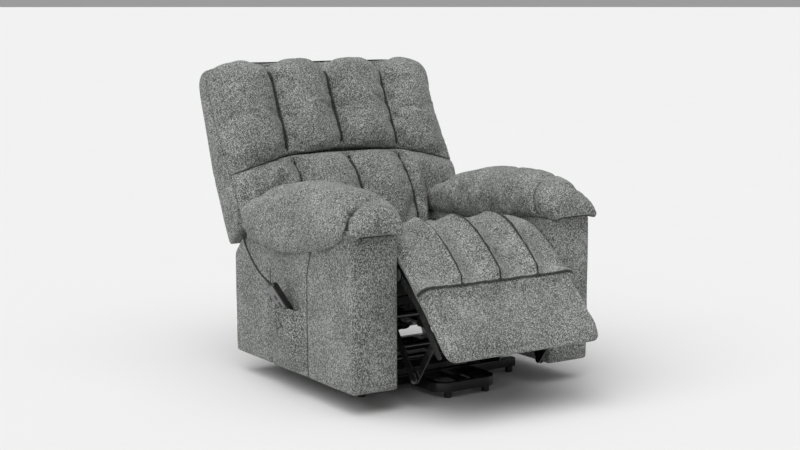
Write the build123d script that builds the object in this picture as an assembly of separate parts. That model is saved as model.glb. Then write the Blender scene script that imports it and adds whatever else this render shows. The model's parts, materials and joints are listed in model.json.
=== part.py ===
from build123d import *
import math
import os

# Power lift recliner armchair, millimetres, +Z up, the sitter faces -Y.
# The floor is z = 0 and the chair's middle plane is x = 0.  Depths below are
# measured backwards from the front face of the arms, and every piece is moved
# by ORIGIN_DEPTH when it is written, so that the origin lies on the floor
# under the middle of the chair.
ORIGIN_DEPTH = 385.0

# ---------------------------------------------------------------- overall
ARM_OUTER = 465.0            # half width over the arm boxes
ARM_WIDTH = 164.0            # width of one arm box
ARM_DEPTH = 765.0            # front to rear of an arm box
ARM_BOTTOM = 69.0            # gap under the arm boxes
ARM_TOP = 560.0              # top of the arm boxes, under the pillows
ARM_WALL = 18.0
ARM_INNER = ARM_OUTER - ARM_WIDTH

SIDE_GAP = 4.0               # side clearance between neighbouring moving plates
RUNNING = 0.1                # radial clearance of a pin in its hole
FACE_GAP = 1.0               # clearance between pieces that only lie close

# ---------------------------------------------------------------- plates and pins
PLATE = 6.0                  # thickness of links, cranks and brackets
SIDE_PLATE = 4.0             # thickness of the chassis side plates
CHASSIS_OUTER = 272.0        # outer face of the chassis side plates
CHASSIS_INNER = CHASSIS_OUTER - SIDE_PLATE
FRONT_LINK_X = CHASSIS_INNER - SIDE_GAP - PLATE      # inner faces of the layers
REAR_LINK_X = FRONT_LINK_X - SIDE_GAP - PLATE
BASE_PLATE_X = REAR_LINK_X - SIDE_GAP - PLATE
CRANK_X = REAR_LINK_X + 2.0
COUPLER_X = CRANK_X - SIDE_GAP - PLATE
PIN = 6.0                    # radius of the small pins
HEAVY_PIN = 8.0              # radius of the chassis and back pins
TORQUE_TUBE = 16.0
SHAFT = 10.0

# ---------------------------------------------------------------- base
BASE_TUBE = 30.0
BASE_WALL = 2.5
FOOT_HEIGHT = 20.0
FOOT_RADIUS = 13.0
BASE_TOP = FOOT_HEIGHT + BASE_TUBE
CROSSBAR_HALF = 318.0
FOOT_X = 301.0
FRONT_BAR_Y = 215.0
REAR_BAR_Y = 690.0
MID_BAR_Y = 350.0
LOOP_HALF = 122.0
LOOP_FRONT = 32.0
LOOP_TUBE = 26.0
LOOP_CORNER = 56.0
LOOP_FOOT_X = 75.0
BRACE_X = 30.0
BRACE_WIDTH = 18.0

# ---------------------------------------------------------------- lift linkage (y, z)
PIVOT_A = (212.0, 107.0)     # front link on the base
PIVOT_B = (268.0, 130.0)     # rear link on the base, driven
PIVOT_C = (548.0, 151.0)     # front link on the chassis, open pivot
PIVOT_D = (717.0, 199.0)     # rear link on the chassis
OPEN_PIVOT_ERROR = 0.7       # most that the open pivot wanders over the lift
LINK_END = 19.0
LIFT_TAIL = (690.0, 72.0)    # lift actuator's rear pivot
LIFT_LUG_RADIUS = 90.0
LIFT_LUG_ANGLE = 64.0
LIFT_EYE = (1.5, 4.2, 4.7)  # along, across and radius of the pin's wander in the eye

# ---------------------------------------------------------------- leg rest (y, z)
PIVOT_H = (10.0, 430.0)      # leg rest on the chassis
PIVOT_P = (120.0, 275.0)     # crank on the chassis
LEG_OPEN = 39.0              # the leg rest stands this far open
LEG_REACH = 225.0            # hinge to coupler pin, down the leg rest
LEG_BACKSET = -5.0           # and behind the hinge line
LEG_FACE = 108.0             # hinge line to the padded face
LEG_BOARD = 12.0
LEG_PAD = 65.0
LEG_TOP = 95.0               # hinge to the pad's upper edge
LEG_BOTTOM = 353.0
LEG_HALF = 290.0
LEG_TAIL = (600.0, 240.0)
LEG_LEVER = 40.0
LEG_EYE = (-0.1, 5.1, 5.2)
LEG_ACTUATOR_X = -105.0

# ---------------------------------------------------------------- backrest (y, z)
PIVOT_K = (690.0, 400.0)
BACK_TAIL = (250.0, 290.0)
BACK_LEVER = (715.0, 294.0)
BACK_EYE = (0.0, 2.2, 2.3)
BACK_ACTUATOR_X = 105.0
BACK_HALF = 465.0
LUMBAR_HALF = 285.0
COVER = 8.0                  # thickness of the rear cover
FRAME_ZONE = 50.0            # depth behind the cushion that holds the frame
BACK_REAR = [(806, 431), (876, 565), (925, 676), (967, 803), (1009, 923), (1029, 1011), (1017, 1048)]
BACK_FRONT = [(905, 1038), (838, 900), (768, 745), (738, 640), (724, 560), (715, 497)]
BACK_TOP = [(945, 1062), (920, 1056)]
BACK_EDGE_ROUND = 48.0

# ---------------------------------------------------------------- seat
SEAT_HALF = 286.0
SEAT_BOTTOM = 352.0
SEAT_CREST = (120.0, 556.0)
SEAT_ROLL = 70.0              # radius of the seat's front edge, round the hinge
SEAT_REAR_TOP = 490.0
SEAT_REAR = 600.0
RAIL_TOP = 343.0
RAIL_HEIGHT = 25.0
RAIL_WIDTH = 22.0
SPRING_WIRE = 2.0
SPRING_COUNT = 5
SPRING_PITCH = 95.0
SPRING_BENDS = 8
SPRING_SWING = 28.0

# ---------------------------------------------------------------- arms
PILLOW_INNER = 294.0
PILLOW_OUTER = 488.0
PILLOW_GAP = 1.5
PILLOW_TOP = [(-22, 612), (20, 655), (110, 682), (250, 692), (385, 686), (550, 655), (655, 622), (698, 596)]
PILLOW_HEM = [(698, 545), (660, 486), (560, 464), (420, 460), (300, 470), (150, 505), (40, 556), (-22, 580)]
ARM_CHAMFER = [(655, ARM_TOP), (690, 480), (ARM_DEPTH, 413)]
SKIRT = 8.0
SKIRT_TOP = 348.0

# ---------------------------------------------------------------- pocket and handset
POCKET_FRONT = 290.0
POCKET_REAR = 530.0
POCKET_MOUTH = 288.0
POCKET_BOTTOM = 92.0
POCKET_WALL = 3.0
POCKET_DEPTH = 46.0          # at the handset, from the arm's face
POCKET_FLAT = 15.0           # elsewhere
POCKET_BULGE = (322.0, 415.0)
HANDSET_TOP = (-519.0, 416.0, 360.0)
HANDSET_LEAN = (-0.40, 0.60, 1.0)
HANDSET_LENGTH = 112.0
HANDSET_WIDTH = 46.0
HANDSET_THICK = 22.0
HANDSET_ROUND = 7.0
FACE_PLATE = 1.2
FACE_BORDER = 5.0
BUTTON_WIDTH = 8.0
BUTTON_LENGTH = 18.0
BUTTON_PROUD = 1.4
BUTTON_TRAVEL = 1.0
BUTTON_GAP = 0.4
BUTTON_PLACES = {"button_up": -46.0, "button_down": -72.0}
RELIEF_LENGTH = 20.0
RELIEF_BASE = 5.5
RELIEF_TIP = 4.0

# ---------------------------------------------------------------- handset cord
CORD_RADIUS = 2.75
GLAND_RADIUS = 8.0
GLAND_TIP = (-472.0, 688.0, 471.0)
GLAND_LENGTH = 14.0
CORD_MIDDLE = [(-475, 672, 452), (-482, 644, 437), (-491, 609, 424), (-502, 571, 413),
               (-513, 533, 404), (-523, 497, 396), (-530, 463, 387)]

# ---------------------------------------------------------------- actuators
ACTUATOR_TUBE = 18.0
ACTUATOR_BORE = 10.4
ACTUATOR_ROD = 10.0
GEARBOX_HALF = 25.0
GEARBOX_FROM = 18.0
GEARBOX_TO = 84.0
MOTOR_CAN = 23.0
MOTOR_LENGTH = 120.0
TAIL_HALF = 12.0
EYE_WALL = 6.0
EAR = 5.0


def save(name, shape):
    """Move a finished piece to the chair's origin and write it."""
    placed = Pos(0, -ORIGIN_DEPTH, 0) * shape
    if isinstance(placed, ShapeList) or isinstance(placed, list):
        placed = Compound(children=list(placed))
    export_step(placed, os.path.join("parts", name + ".step"))


def mirrored(shape):
    """The shape's mirror image on the other side of the chair."""
    return mirror(shape, about=Plane.YZ)


def both(shape):
    """A right piece and its mirror image as two separate solids."""
    return Compound(children=[shape, mirrored(shape)])


def slab(points, x0, x1, corner=0.0):
    """Plate with a closed (y, z) outline, standing between x0 and x1."""
    face = make_face(Polyline([(float(y), float(z)) for y, z in points], close=True))
    if corner:
        face = fillet(face.vertices(), corner)
    return extrude(Plane.YZ.offset(x0) * face, amount=x1 - x0)


def rod(centre, radius, x0, x1, bore=0.0):
    """Round bar or tube across the chair at a (y, z) centre."""
    bar = Cylinder(radius, abs(x1 - x0))
    if bore:
        bar -= Cylinder(bore, abs(x1 - x0))
    return Pos((x0 + x1) / 2, centre[0], centre[1]) * Rot(0, 90, 0) * bar


def bar(start, end, width, x0, x1):
    """Flat link with round ends between two (y, z) centres."""
    length = math.dist(start, end)
    angle = math.degrees(math.atan2(end[1] - start[1], end[0] - start[0]))
    middle = ((start[0] + end[0]) / 2, (start[1] + end[1]) / 2)
    outline = SlotCenterToCenter(length, width)
    sketch = Plane.YZ.offset(x0) * Pos(middle[0], middle[1]) * Rot(0, 0, angle) * outline
    return extrude(sketch, amount=x1 - x0)


def box_between(low, high):
    """Box from its lowest to its highest corner."""
    size = [b - a for a, b in zip(low, high)]
    middle = [(a + b) / 2 for a, b in zip(low, high)]
    return Pos(*middle) * Box(*size)


def square_tube(low, high, axis):
    """Rectangular steel tube between two corners, open along the named axis."""
    wall = [0.0 if name == axis else BASE_WALL for name in "xyz"]
    inner_low = [a + w for a, w in zip(low, wall)]
    inner_high = [b - w for b, w in zip(high, wall)]
    outer = box_between(low, high)
    along = [e for e in outer.edges().filter_by({"x": Axis.X, "y": Axis.Y}[axis])]
    return fillet(along, BASE_WALL) - box_between(inner_low, inner_high)


def leg_point(ahead, down):
    """(y, z) of a point given in the hanging leg rest's own directions."""
    turn = math.radians(LEG_OPEN)
    y = PIVOT_H[0] - down * math.sin(turn) - ahead * math.cos(turn)
    z = PIVOT_H[1] - down * math.cos(turn) + ahead * math.sin(turn)
    return (y, z)


PIVOT_Q = leg_point(LEG_BACKSET, LEG_REACH)
PIVOT_R = (PIVOT_P[0] + PIVOT_Q[0] - PIVOT_H[0], PIVOT_P[1] + PIVOT_Q[1] - PIVOT_H[1])
LUG_TURN = math.radians(LIFT_LUG_ANGLE)
LIFT_LUG = (PIVOT_B[0] + LIFT_LUG_RADIUS * math.cos(LUG_TURN),
            PIVOT_B[1] + LIFT_LUG_RADIUS * math.sin(LUG_TURN))
LEG_LUG = (PIVOT_P[0], PIVOT_P[1] - LEG_LEVER)


# ================================================================= base
def make_base():
    """Welded steel floor frame on round feet."""
    low, high = FOOT_HEIGHT, BASE_TOP
    half = BASE_TUBE / 2
    for name, depth in (("base_front_crossbar", FRONT_BAR_Y), ("base_rear_crossbar", REAR_BAR_Y)):
        corner = (CROSSBAR_HALF, depth + half, high)
        save(name, square_tube((-CROSSBAR_HALF, depth - half, low), corner, "x"))
    rail_outer = BASE_PLATE_X
    rail_inner = rail_outer - BASE_TUBE
    rail = square_tube((rail_inner, FRONT_BAR_Y + half, low), (rail_outer, REAR_BAR_Y - half, high), "y")
    save("base_side_rails", both(rail))
    bar_low = (-rail_inner, MID_BAR_Y - 12, low + 14)
    save("base_mid_bar", square_tube(bar_low, (rail_inner, MID_BAR_Y + 12, high + 10), "x"))

    loop_rear = FRONT_BAR_Y - half
    depth = loop_rear - LOOP_FRONT + LOOP_CORNER
    middle = LOOP_FRONT + depth / 2
    outer = Pos(0, middle) * RectangleRounded(2 * LOOP_HALF, depth, LOOP_CORNER)
    inner = Pos(0, middle) * RectangleRounded(2 * (LOOP_HALF - LOOP_TUBE), depth - 2 * LOOP_TUBE,
                                              LOOP_CORNER - LOOP_TUBE)
    ring = extrude(Pos(0, 0, low) * (outer - inner), amount=BASE_TUBE)
    ring -= box_between((-LOOP_HALF, loop_rear, low), (LOOP_HALF, loop_rear + depth, high))
    save("base_loop", ring)
    brace = box_between((BRACE_X - BRACE_WIDTH / 2, LOOP_FRONT + LOOP_TUBE, low + 4),
                        (BRACE_X + BRACE_WIDTH / 2, loop_rear, low + 18))
    save("base_loop_brace", brace)

    foot = Cylinder(FOOT_RADIUS, FOOT_HEIGHT, align=(Align.CENTER, Align.CENTER, Align.MIN))
    foot = fillet(foot.edges().filter_by(GeomType.CIRCLE), 2)
    places = [(LOOP_FOOT_X, LOOP_FRONT + LOOP_TUBE / 2 + 4), (FOOT_X, FRONT_BAR_Y), (FOOT_X, REAR_BAR_Y)]
    save("base_feet", Compound(children=[Pos(side * x, y, 0) * foot for x, y in places for side in (1, -1)]))

    front, rear = PIVOT_A[0] - 26, PIVOT_B[0] + 28
    step = FRONT_BAR_Y + half + FACE_GAP
    outline = [(front, high), (step, high), (step, low + 4), (rear, low + 4), (rear, PIVOT_B[1] + 8),
               (PIVOT_B[0] + 12, PIVOT_B[1] + 26), (PIVOT_B[0] - 14, PIVOT_B[1] + 26), (front, PIVOT_A[1] + 20)]
    plate = slab(outline, BASE_PLATE_X, BASE_PLATE_X + PLATE)
    plate -= rod(PIVOT_A, SHAFT + RUNNING, BASE_PLATE_X, BASE_PLATE_X + PLATE)
    plate -= rod(PIVOT_B, TORQUE_TUBE + RUNNING, BASE_PLATE_X, BASE_PLATE_X + PLATE)
    save("base_pivot_plates", both(plate))

    y, z = LIFT_TAIL
    inner_face = TAIL_HALF + FACE_GAP
    ear_outline = [(y - 14, high), (y + 14, high), (y + 14, z + 8), (y + 6, z + 16), (y - 6, z + 16), (y - 14, z + 8)]
    ear = slab(ear_outline, inner_face, inner_face + EAR)
    clevis = ear + mirrored(ear) + rod(LIFT_TAIL, PIN, -inner_face, inner_face)
    save("base_motor_clevis", clevis)


# ================================================================= lift arms
def make_lift_arms():
    """Two pairs of links that raise and tip the chassis, and the tube that drives them."""
    tube = rod(PIVOT_B, TORQUE_TUBE, -REAR_LINK_X, REAR_LINK_X, TORQUE_TUBE - 3)
    lug = bar(PIVOT_B, LIFT_LUG, 26, -EAR, EAR) - rod(PIVOT_B, TORQUE_TUBE - 1, -EAR, EAR)
    pin_half = 2 * EAR + FACE_GAP + 1
    save("lift_torque_tube", tube + lug + rod(LIFT_LUG, PIN, -pin_half, pin_half))

    link = bar(PIVOT_B, PIVOT_D, 2 * LINK_END, REAR_LINK_X, REAR_LINK_X + PLATE)
    link -= rod(PIVOT_D, HEAVY_PIN + RUNNING, REAR_LINK_X, REAR_LINK_X + PLATE)
    save("rear_lift_links", both(link))

    save("front_link_shaft", rod(PIVOT_A, SHAFT, -FRONT_LINK_X, FRONT_LINK_X))
    link = bar(PIVOT_A, PIVOT_C, 2 * LINK_END - 4, FRONT_LINK_X, FRONT_LINK_X + PLATE)
    hole = PIN + OPEN_PIVOT_ERROR + 2 * RUNNING
    link -= rod(PIVOT_C, hole, FRONT_LINK_X, FRONT_LINK_X + PLATE)
    save("front_lift_links", both(link))


# ================================================================= actuators
def make_actuator(name, x, tail, eye, tube_to, rod_from, wander):
    """Linear actuator: gearbox with its motor, outer tube and sliding rod with a fork."""
    dy, dz = eye[0] - tail[0], eye[1] - tail[1]
    length = math.hypot(dy, dz)
    along = (0, dy / length, dz / length)
    frame = Plane(origin=(x, tail[0], tail[1]), x_dir=(1, 0, 0), z_dir=along)

    def placed(shape):
        return frame.location * shape

    def upright(radius, start, end):
        return Pos(0, 0, start) * Cylinder(radius, end - start, align=(Align.CENTER, Align.CENTER, Align.MIN))

    tail_lug = Rot(0, 90, 0) * Cylinder(PIN + EYE_WALL, 2 * TAIL_HALF)
    tail_lug += box_between((-TAIL_HALF, -PIN - EYE_WALL, 0), (TAIL_HALF, PIN + EYE_WALL, GEARBOX_FROM))
    gearbox = box_between((-GEARBOX_HALF, -GEARBOX_HALF, GEARBOX_FROM), (GEARBOX_HALF, GEARBOX_HALF, GEARBOX_TO))
    gearbox = fillet(gearbox.edges(), 4)
    can_y = GEARBOX_HALF + MOTOR_CAN - 3
    foot = box_between((-MOTOR_CAN, 0, GEARBOX_FROM + 6), (MOTOR_CAN, can_y, GEARBOX_TO - 10))
    can = Pos(0, can_y, 0) * upright(MOTOR_CAN, GEARBOX_FROM + 6, GEARBOX_FROM + 6 + MOTOR_LENGTH)
    housing = tail_lug + gearbox + foot + can
    housing -= Rot(0, 90, 0) * Cylinder(PIN + RUNNING, 4 * TAIL_HALF)
    save(name + "_motor", placed(housing))

    tube = upright(ACTUATOR_TUBE, GEARBOX_TO, tube_to) - upright(ACTUATOR_BORE, GEARBOX_TO, tube_to)
    collar = upright(ACTUATOR_TUBE + 3, tube_to - 16, tube_to) - upright(ACTUATOR_BORE, tube_to - 16, tube_to)
    save(name + "_tube", placed(tube + collar))

    shift_along, shift_across, shift_radius = wander
    hole = PIN + shift_radius + 4 * RUNNING
    outer = hole + EYE_WALL
    ear_in = EAR + FACE_GAP
    neck = length - outer - 16
    centre = Pos(0, shift_across, length + shift_along)
    ear = centre * Rot(0, 90, 0) * Cylinder(outer, EAR)
    ear += box_between((-EAR / 2, -outer + 2, neck - 6), (EAR / 2, outer - 2, length + shift_along))
    ear -= centre * Rot(0, 90, 0) * Cylinder(hole, EAR)
    fork = Pos(ear_in + EAR / 2, 0, 0) * ear + Pos(-ear_in - EAR / 2, 0, 0) * ear
    fork += box_between((-ear_in - EAR, -outer + 2, neck - 12), (ear_in + EAR, outer - 2, neck - 4))
    save(name + "_rod", placed(upright(ACTUATOR_ROD, rod_from, neck - 12) + fork))


def make_actuators():
    """Lift, back and leg-rest actuators, all the same type in three lengths."""
    make_actuator("lift", 0.0, LIFT_TAIL, LIFT_LUG, 300, 150, LIFT_EYE)
    make_actuator("back", BACK_ACTUATOR_X, BACK_TAIL, BACK_LEVER, 312, 190, BACK_EYE)
    make_actuator("leg", LEG_ACTUATOR_X, LEG_TAIL, LEG_LUG, 350, 200, LEG_EYE)


# ================================================================= chassis
def chassis_plate():
    """One side plate of the seat box, from the leg hinge crank back to the backrest hinge."""
    outline = [(70, RAIL_TOP), (70, 292), (98, 250), (142, 250), (200, 286), (470, 262), (520, 134),
               (575, 127), (742, 172), (752, 230), (728, 372), (718, 426), (662, 426), (640, RAIL_TOP)]
    plate = slab(outline, CHASSIS_INNER, CHASSIS_OUTER)
    return plate - rod(PIVOT_P, 12 + RUNNING, CHASSIS_INNER, CHASSIS_OUTER)


def motor_clevis(x, tail, tube_y, tail_z):
    """Two ears and a pin that hold an actuator's tail to a cross tube."""
    y = tail[0]
    inner_face = TAIL_HALF + FACE_GAP
    reach = sorted((y + math.copysign(14, y - tube_y), tube_y))
    ear = slab([(reach[0], tail_z - 12), (reach[1], tail_z - 12), (reach[1], tail_z + 12), (reach[0], tail_z + 12)],
               inner_face, inner_face + EAR)
    pair = ear + mirrored(ear) + rod(tail, PIN, -inner_face, inner_face)
    return Pos(x, 0, 0) * (pair - rod((tube_y, tail_z), 12.5, -2 * inner_face, 2 * inner_face))


def make_chassis():
    """Steel seat box, its cross tubes, rails and springs."""
    plate = chassis_plate()
    save("chassis_plate_right", plate)
    save("chassis_plate_left", mirrored(plate))
    front_tube_y, rear_tube_y = BACK_TAIL[0] - 27, LEG_TAIL[0] + 27
    tubes = [rod((y, z), 12.5, -CHASSIS_INNER, CHASSIS_INNER, 10.5)
             for y, z in ((front_tube_y, BACK_TAIL[1]), (rear_tube_y, LEG_TAIL[1]))]
    save("chassis_cross_tubes", Compound(children=tubes))
    clevises = [motor_clevis(BACK_ACTUATOR_X, BACK_TAIL, front_tube_y, BACK_TAIL[1]),
                motor_clevis(LEG_ACTUATOR_X, LEG_TAIL, rear_tube_y, LEG_TAIL[1])]
    save("motor_clevises", Compound(children=clevises))
    pins = [rod(PIVOT_D, HEAVY_PIN, REAR_LINK_X - 2, CHASSIS_INNER),
            rod(PIVOT_C, PIN, FRONT_LINK_X - 2, CHASSIS_INNER),
            rod(PIVOT_K, HEAVY_PIN, FRONT_LINK_X - 3, CHASSIS_INNER)]
    pins += [mirrored(pin) for pin in pins]
    save("chassis_pins", Compound(children=pins))

    rail_low = RAIL_TOP - RAIL_HEIGHT
    rail = box_between((CHASSIS_INNER - RAIL_WIDTH, 75, rail_low), (CHASSIS_INNER, 590, RAIL_TOP))
    save("seat_side_rails", both(rail))
    inner = CHASSIS_INNER - RAIL_WIDTH
    cross = [box_between((-inner, y, rail_low), (inner, y + RAIL_WIDTH, RAIL_TOP)) for y in (75, 568)]
    save("seat_cross_rails", Compound(children=cross))
    save("seat_springs", Compound(children=make_springs()))

    crest = [(PIVOT_H[0] - SEAT_ROLL / 2, PIVOT_H[1] + SEAT_ROLL * 0.866), (PIVOT_H[0] + 40, SEAT_CREST[1] - 18),
             SEAT_CREST, (2 * SEAT_CREST[0], SEAT_CREST[1]), (SEAT_REAR, SEAT_REAR_TOP), (SEAT_REAR, SEAT_BOTTOM),
             (PIVOT_H[0] + 20, SEAT_BOTTOM), (PIVOT_H[0], SEAT_BOTTOM + 10)]
    roll = rod(PIVOT_H, SEAT_ROLL, -SEAT_HALF, SEAT_HALF)
    save("seat_cushion", slab(crest, -SEAT_HALF, SEAT_HALF) + roll)

    hinge = rod(PIVOT_H, 20, ARM_INNER - SIDE_PLATE, ARM_INNER) + rod(PIVOT_H, PIN, SEAT_HALF + 2, ARM_INNER)
    save("leg_hinge_pins", both(hinge))


def make_springs():
    """Zigzag seat springs lying on the cross rails."""
    first, last = 80.0, 585.0
    step = (last - first) / (SPRING_BENDS + 1)
    level = RAIL_TOP + SPRING_WIRE
    springs = []
    for index in range(SPRING_COUNT):
        x = (index - (SPRING_COUNT - 1) / 2) * SPRING_PITCH
        points = [(x, first, level)]
        points += [(x + SPRING_SWING * (-1) ** i, first + step * (i + 1), level) for i in range(SPRING_BENDS)]
        points.append((x, last, level))
        path = FilletPolyline(*points, radius=12)
        springs.append(sweep(Plane(origin=path @ 0, z_dir=path % 0) * Circle(SPRING_WIRE), path=path))
    return springs


# ================================================================= arms and covers
def make_arms():
    """Arm boxes, arm pillows, rear skirt and the electrical pieces on them."""
    outline = [(0, ARM_BOTTOM), (ARM_DEPTH, ARM_BOTTOM)] + ARM_CHAMFER[::-1] + [(0, ARM_TOP)]
    outer = slab(outline, ARM_INNER, ARM_OUTER)
    outer = fillet(outer.edges().filter_by(Axis.Z).group_by(Axis.Y)[0], 14)
    inner_low = ARM_BOTTOM + ARM_WALL
    inner_outline = [(ARM_WALL, inner_low), (ARM_DEPTH - ARM_WALL, inner_low), (ARM_DEPTH - ARM_WALL, 405),
                     (676, 468), (644, ARM_TOP - ARM_WALL), (ARM_WALL, ARM_TOP - ARM_WALL)]
    arm = outer - slab(inner_outline, ARM_INNER + ARM_WALL, ARM_OUTER - ARM_WALL)
    save("arm_box_right", arm)
    save("arm_box_left", mirrored(arm))

    side_outline = slab(PILLOW_TOP + PILLOW_HEM, PILLOW_INNER, PILLOW_OUTER)
    section = box_between((PILLOW_INNER, -60, ARM_TOP), (PILLOW_OUTER, ARM_DEPTH, 800))
    section = fillet(section.edges().filter_by(Axis.Y).group_by(Axis.Z)[0], 20)
    flap = box_between((ARM_OUTER + PILLOW_GAP, -60, 400), (PILLOW_OUTER, ARM_DEPTH, ARM_TOP + 40))
    pillow = side_outline & (section + flap)
    keep_out = slab(outline, ARM_INNER - 30, ARM_OUTER + PILLOW_GAP / 2)
    pillow -= keep_out
    save("arm_pillow_right", pillow)
    save("arm_pillow_left", mirrored(pillow))

    save("rear_skirt", box_between((-ARM_INNER, ARM_DEPTH - SKIRT, ARM_BOTTOM), (ARM_INNER, ARM_DEPTH, SKIRT_TOP)))
    box = box_between((70, ARM_DEPTH - SKIRT - 46, 92), (200, ARM_DEPTH - SKIRT, 150))
    save("control_box", fillet(box.edges(), 5))
    inlet = box_between((150, ARM_DEPTH, 110), (180, ARM_DEPTH + 5, 134))
    socket = box_between((155, ARM_DEPTH + 2, 115), (175, ARM_DEPTH + 5, 129))
    save("power_inlet", fillet(inlet.edges().filter_by(Axis.Y), 4) - socket)


def pocket_outline(flat, bulge, z):
    """Closed plan outline of the pocket at one height, in x and y."""
    wall_x = -ARM_OUTER
    front, rear = POCKET_FRONT, POCKET_REAR
    points = [(wall_x, front), (wall_x - flat, front + 12), (wall_x - flat, POCKET_BULGE[0] - 12),
              (wall_x - bulge, POCKET_BULGE[0] + 8), (wall_x - bulge, POCKET_BULGE[1] - 8),
              (wall_x - flat, POCKET_BULGE[1] + 40), (wall_x - flat, rear - 12), (wall_x, rear)]
    return Pos(0, 0, z) * make_face(Polyline(points, close=True))


def make_pocket():
    """Fabric pocket on the left arm's outer face, open at the top."""
    outer = loft([pocket_outline(POCKET_FLAT - 3, POCKET_FLAT + 1, POCKET_BOTTOM),
                  pocket_outline(POCKET_FLAT, POCKET_DEPTH, POCKET_MOUTH)], ruled=True)
    wall = POCKET_WALL
    hollow_low = pocket_outline(POCKET_FLAT - 3 - wall, POCKET_FLAT + 1 - wall, POCKET_BOTTOM + wall)
    hollow_high = pocket_outline(POCKET_FLAT - wall, POCKET_DEPTH - wall, POCKET_MOUTH)
    hollow = loft([hollow_low, hollow_high], ruled=True)
    trim = box_between((-ARM_OUTER - 100, POCKET_FRONT + 2 * wall, 0), (-ARM_OUTER - wall / 2, POCKET_REAR - 2 * wall, 900))
    save("side_pocket", outer - (hollow & trim))


# ================================================================= backrest
def shifted(points, dy):
    """A (y, z) polyline moved backwards by dy."""
    return [(y + dy, z) for y, z in points]


def back_cross():
    """(y, z) of the backrest's lower tube, just under the actuator's pin."""
    return (BACK_LEVER[0] + 14, BACK_LEVER[1] - 27)


def make_backrest():
    """Padded back on two steel brackets, with a rear cover."""
    cushion_rear = shifted(BACK_REAR, -FRAME_ZONE)
    cushion_rear[0] = (cushion_rear[0][0] + 10, 466)
    wide = slab(cushion_rear + BACK_TOP + BACK_FRONT, -BACK_HALF, BACK_HALF)
    front_edges = [e for e in wide.edges() if abs(e.center().X) > BACK_HALF - 1 and on_front(e)]
    wide = fillet(front_edges, BACK_EDGE_ROUND)
    save("back_cushion", wide)

    lumbar_front = [(700, 664), (655, 580), (626, 510), (624, 440), (640, 388), (700, 374)]
    lumbar_rear = [(728, 430), (713, 497)] + [(y - 1, z) for y, z in BACK_FRONT[-2:-5:-1]]
    lumbar = slab(lumbar_front + lumbar_rear, -LUMBAR_HALF, LUMBAR_HALF)
    notch = box_between((FRONT_LINK_X - 8, 500, 300), (LUMBAR_HALF + 1, 900, 446))
    save("lumbar_cushion", lumbar - notch - mirrored(notch))

    inner_rear = shifted(BACK_REAR[:-1], -COVER)
    tray_front = shifted(BACK_REAR[1:], -FRAME_ZONE + FACE_GAP)[::-1] + [(768, 452)]
    tray = slab(BACK_REAR + tray_front, -BACK_HALF, BACK_HALF)
    zone = slab(inner_rear + shifted(BACK_REAR[:-1], -FRAME_ZONE - 10)[::-1], -BACK_HALF + COVER, BACK_HALF - COVER)
    zone += box_between((-BACK_HALF + COVER, 700, 380), (BACK_HALF - COVER, 798, 440))
    save("back_cover", tray - zone)

    post = shifted(BACK_REAR[:5], -COVER - 5) + shifted(BACK_REAR[:5], -FRAME_ZONE + 4)[::-1]
    arm_end = (BACK_REAR[0][0] - 30, BACK_REAR[0][1] + 6)
    bracket = (slab(post, FRONT_LINK_X, FRONT_LINK_X + PLATE)
               + bar(PIVOT_K, arm_end, 30, FRONT_LINK_X, FRONT_LINK_X + PLATE)
               + bar(PIVOT_K, back_cross(), 30, FRONT_LINK_X, FRONT_LINK_X + PLATE))
    bracket -= rod(PIVOT_K, HEAVY_PIN + RUNNING, FRONT_LINK_X, FRONT_LINK_X + PLATE)
    save("back_brackets", both(bracket))
    lug_x = BACK_ACTUATOR_X
    cross = back_cross()
    tube = rod(cross, 12.5, -FRONT_LINK_X, FRONT_LINK_X, 10.5)
    lug = bar(BACK_LEVER, cross, 24, lug_x - EAR, lug_x + EAR) - rod(cross, 11.5, lug_x - EAR, lug_x + EAR)
    pin = rod(BACK_LEVER, PIN, lug_x - 2 * EAR - FACE_GAP - 1, lug_x + 2 * EAR + FACE_GAP + 1)
    save("back_lower_tube", tube + lug + pin)


def on_front(edge):
    """True for an edge that lies on the backrest's front outline."""
    middle = edge.center()
    for (y0, z0), (y1, z1) in zip(BACK_FRONT, BACK_FRONT[1:]):
        if math.hypot(middle.Y - (y0 + y1) / 2, middle.Z - (z0 + z1) / 2) < 3:
            return True
    return False


# ================================================================= leg rest
def leg_slab(points, x0, x1):
    """Plate on the leg rest with an outline in its own directions."""
    return slab([leg_point(ahead, down) for ahead, down in points], x0, x1)


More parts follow.
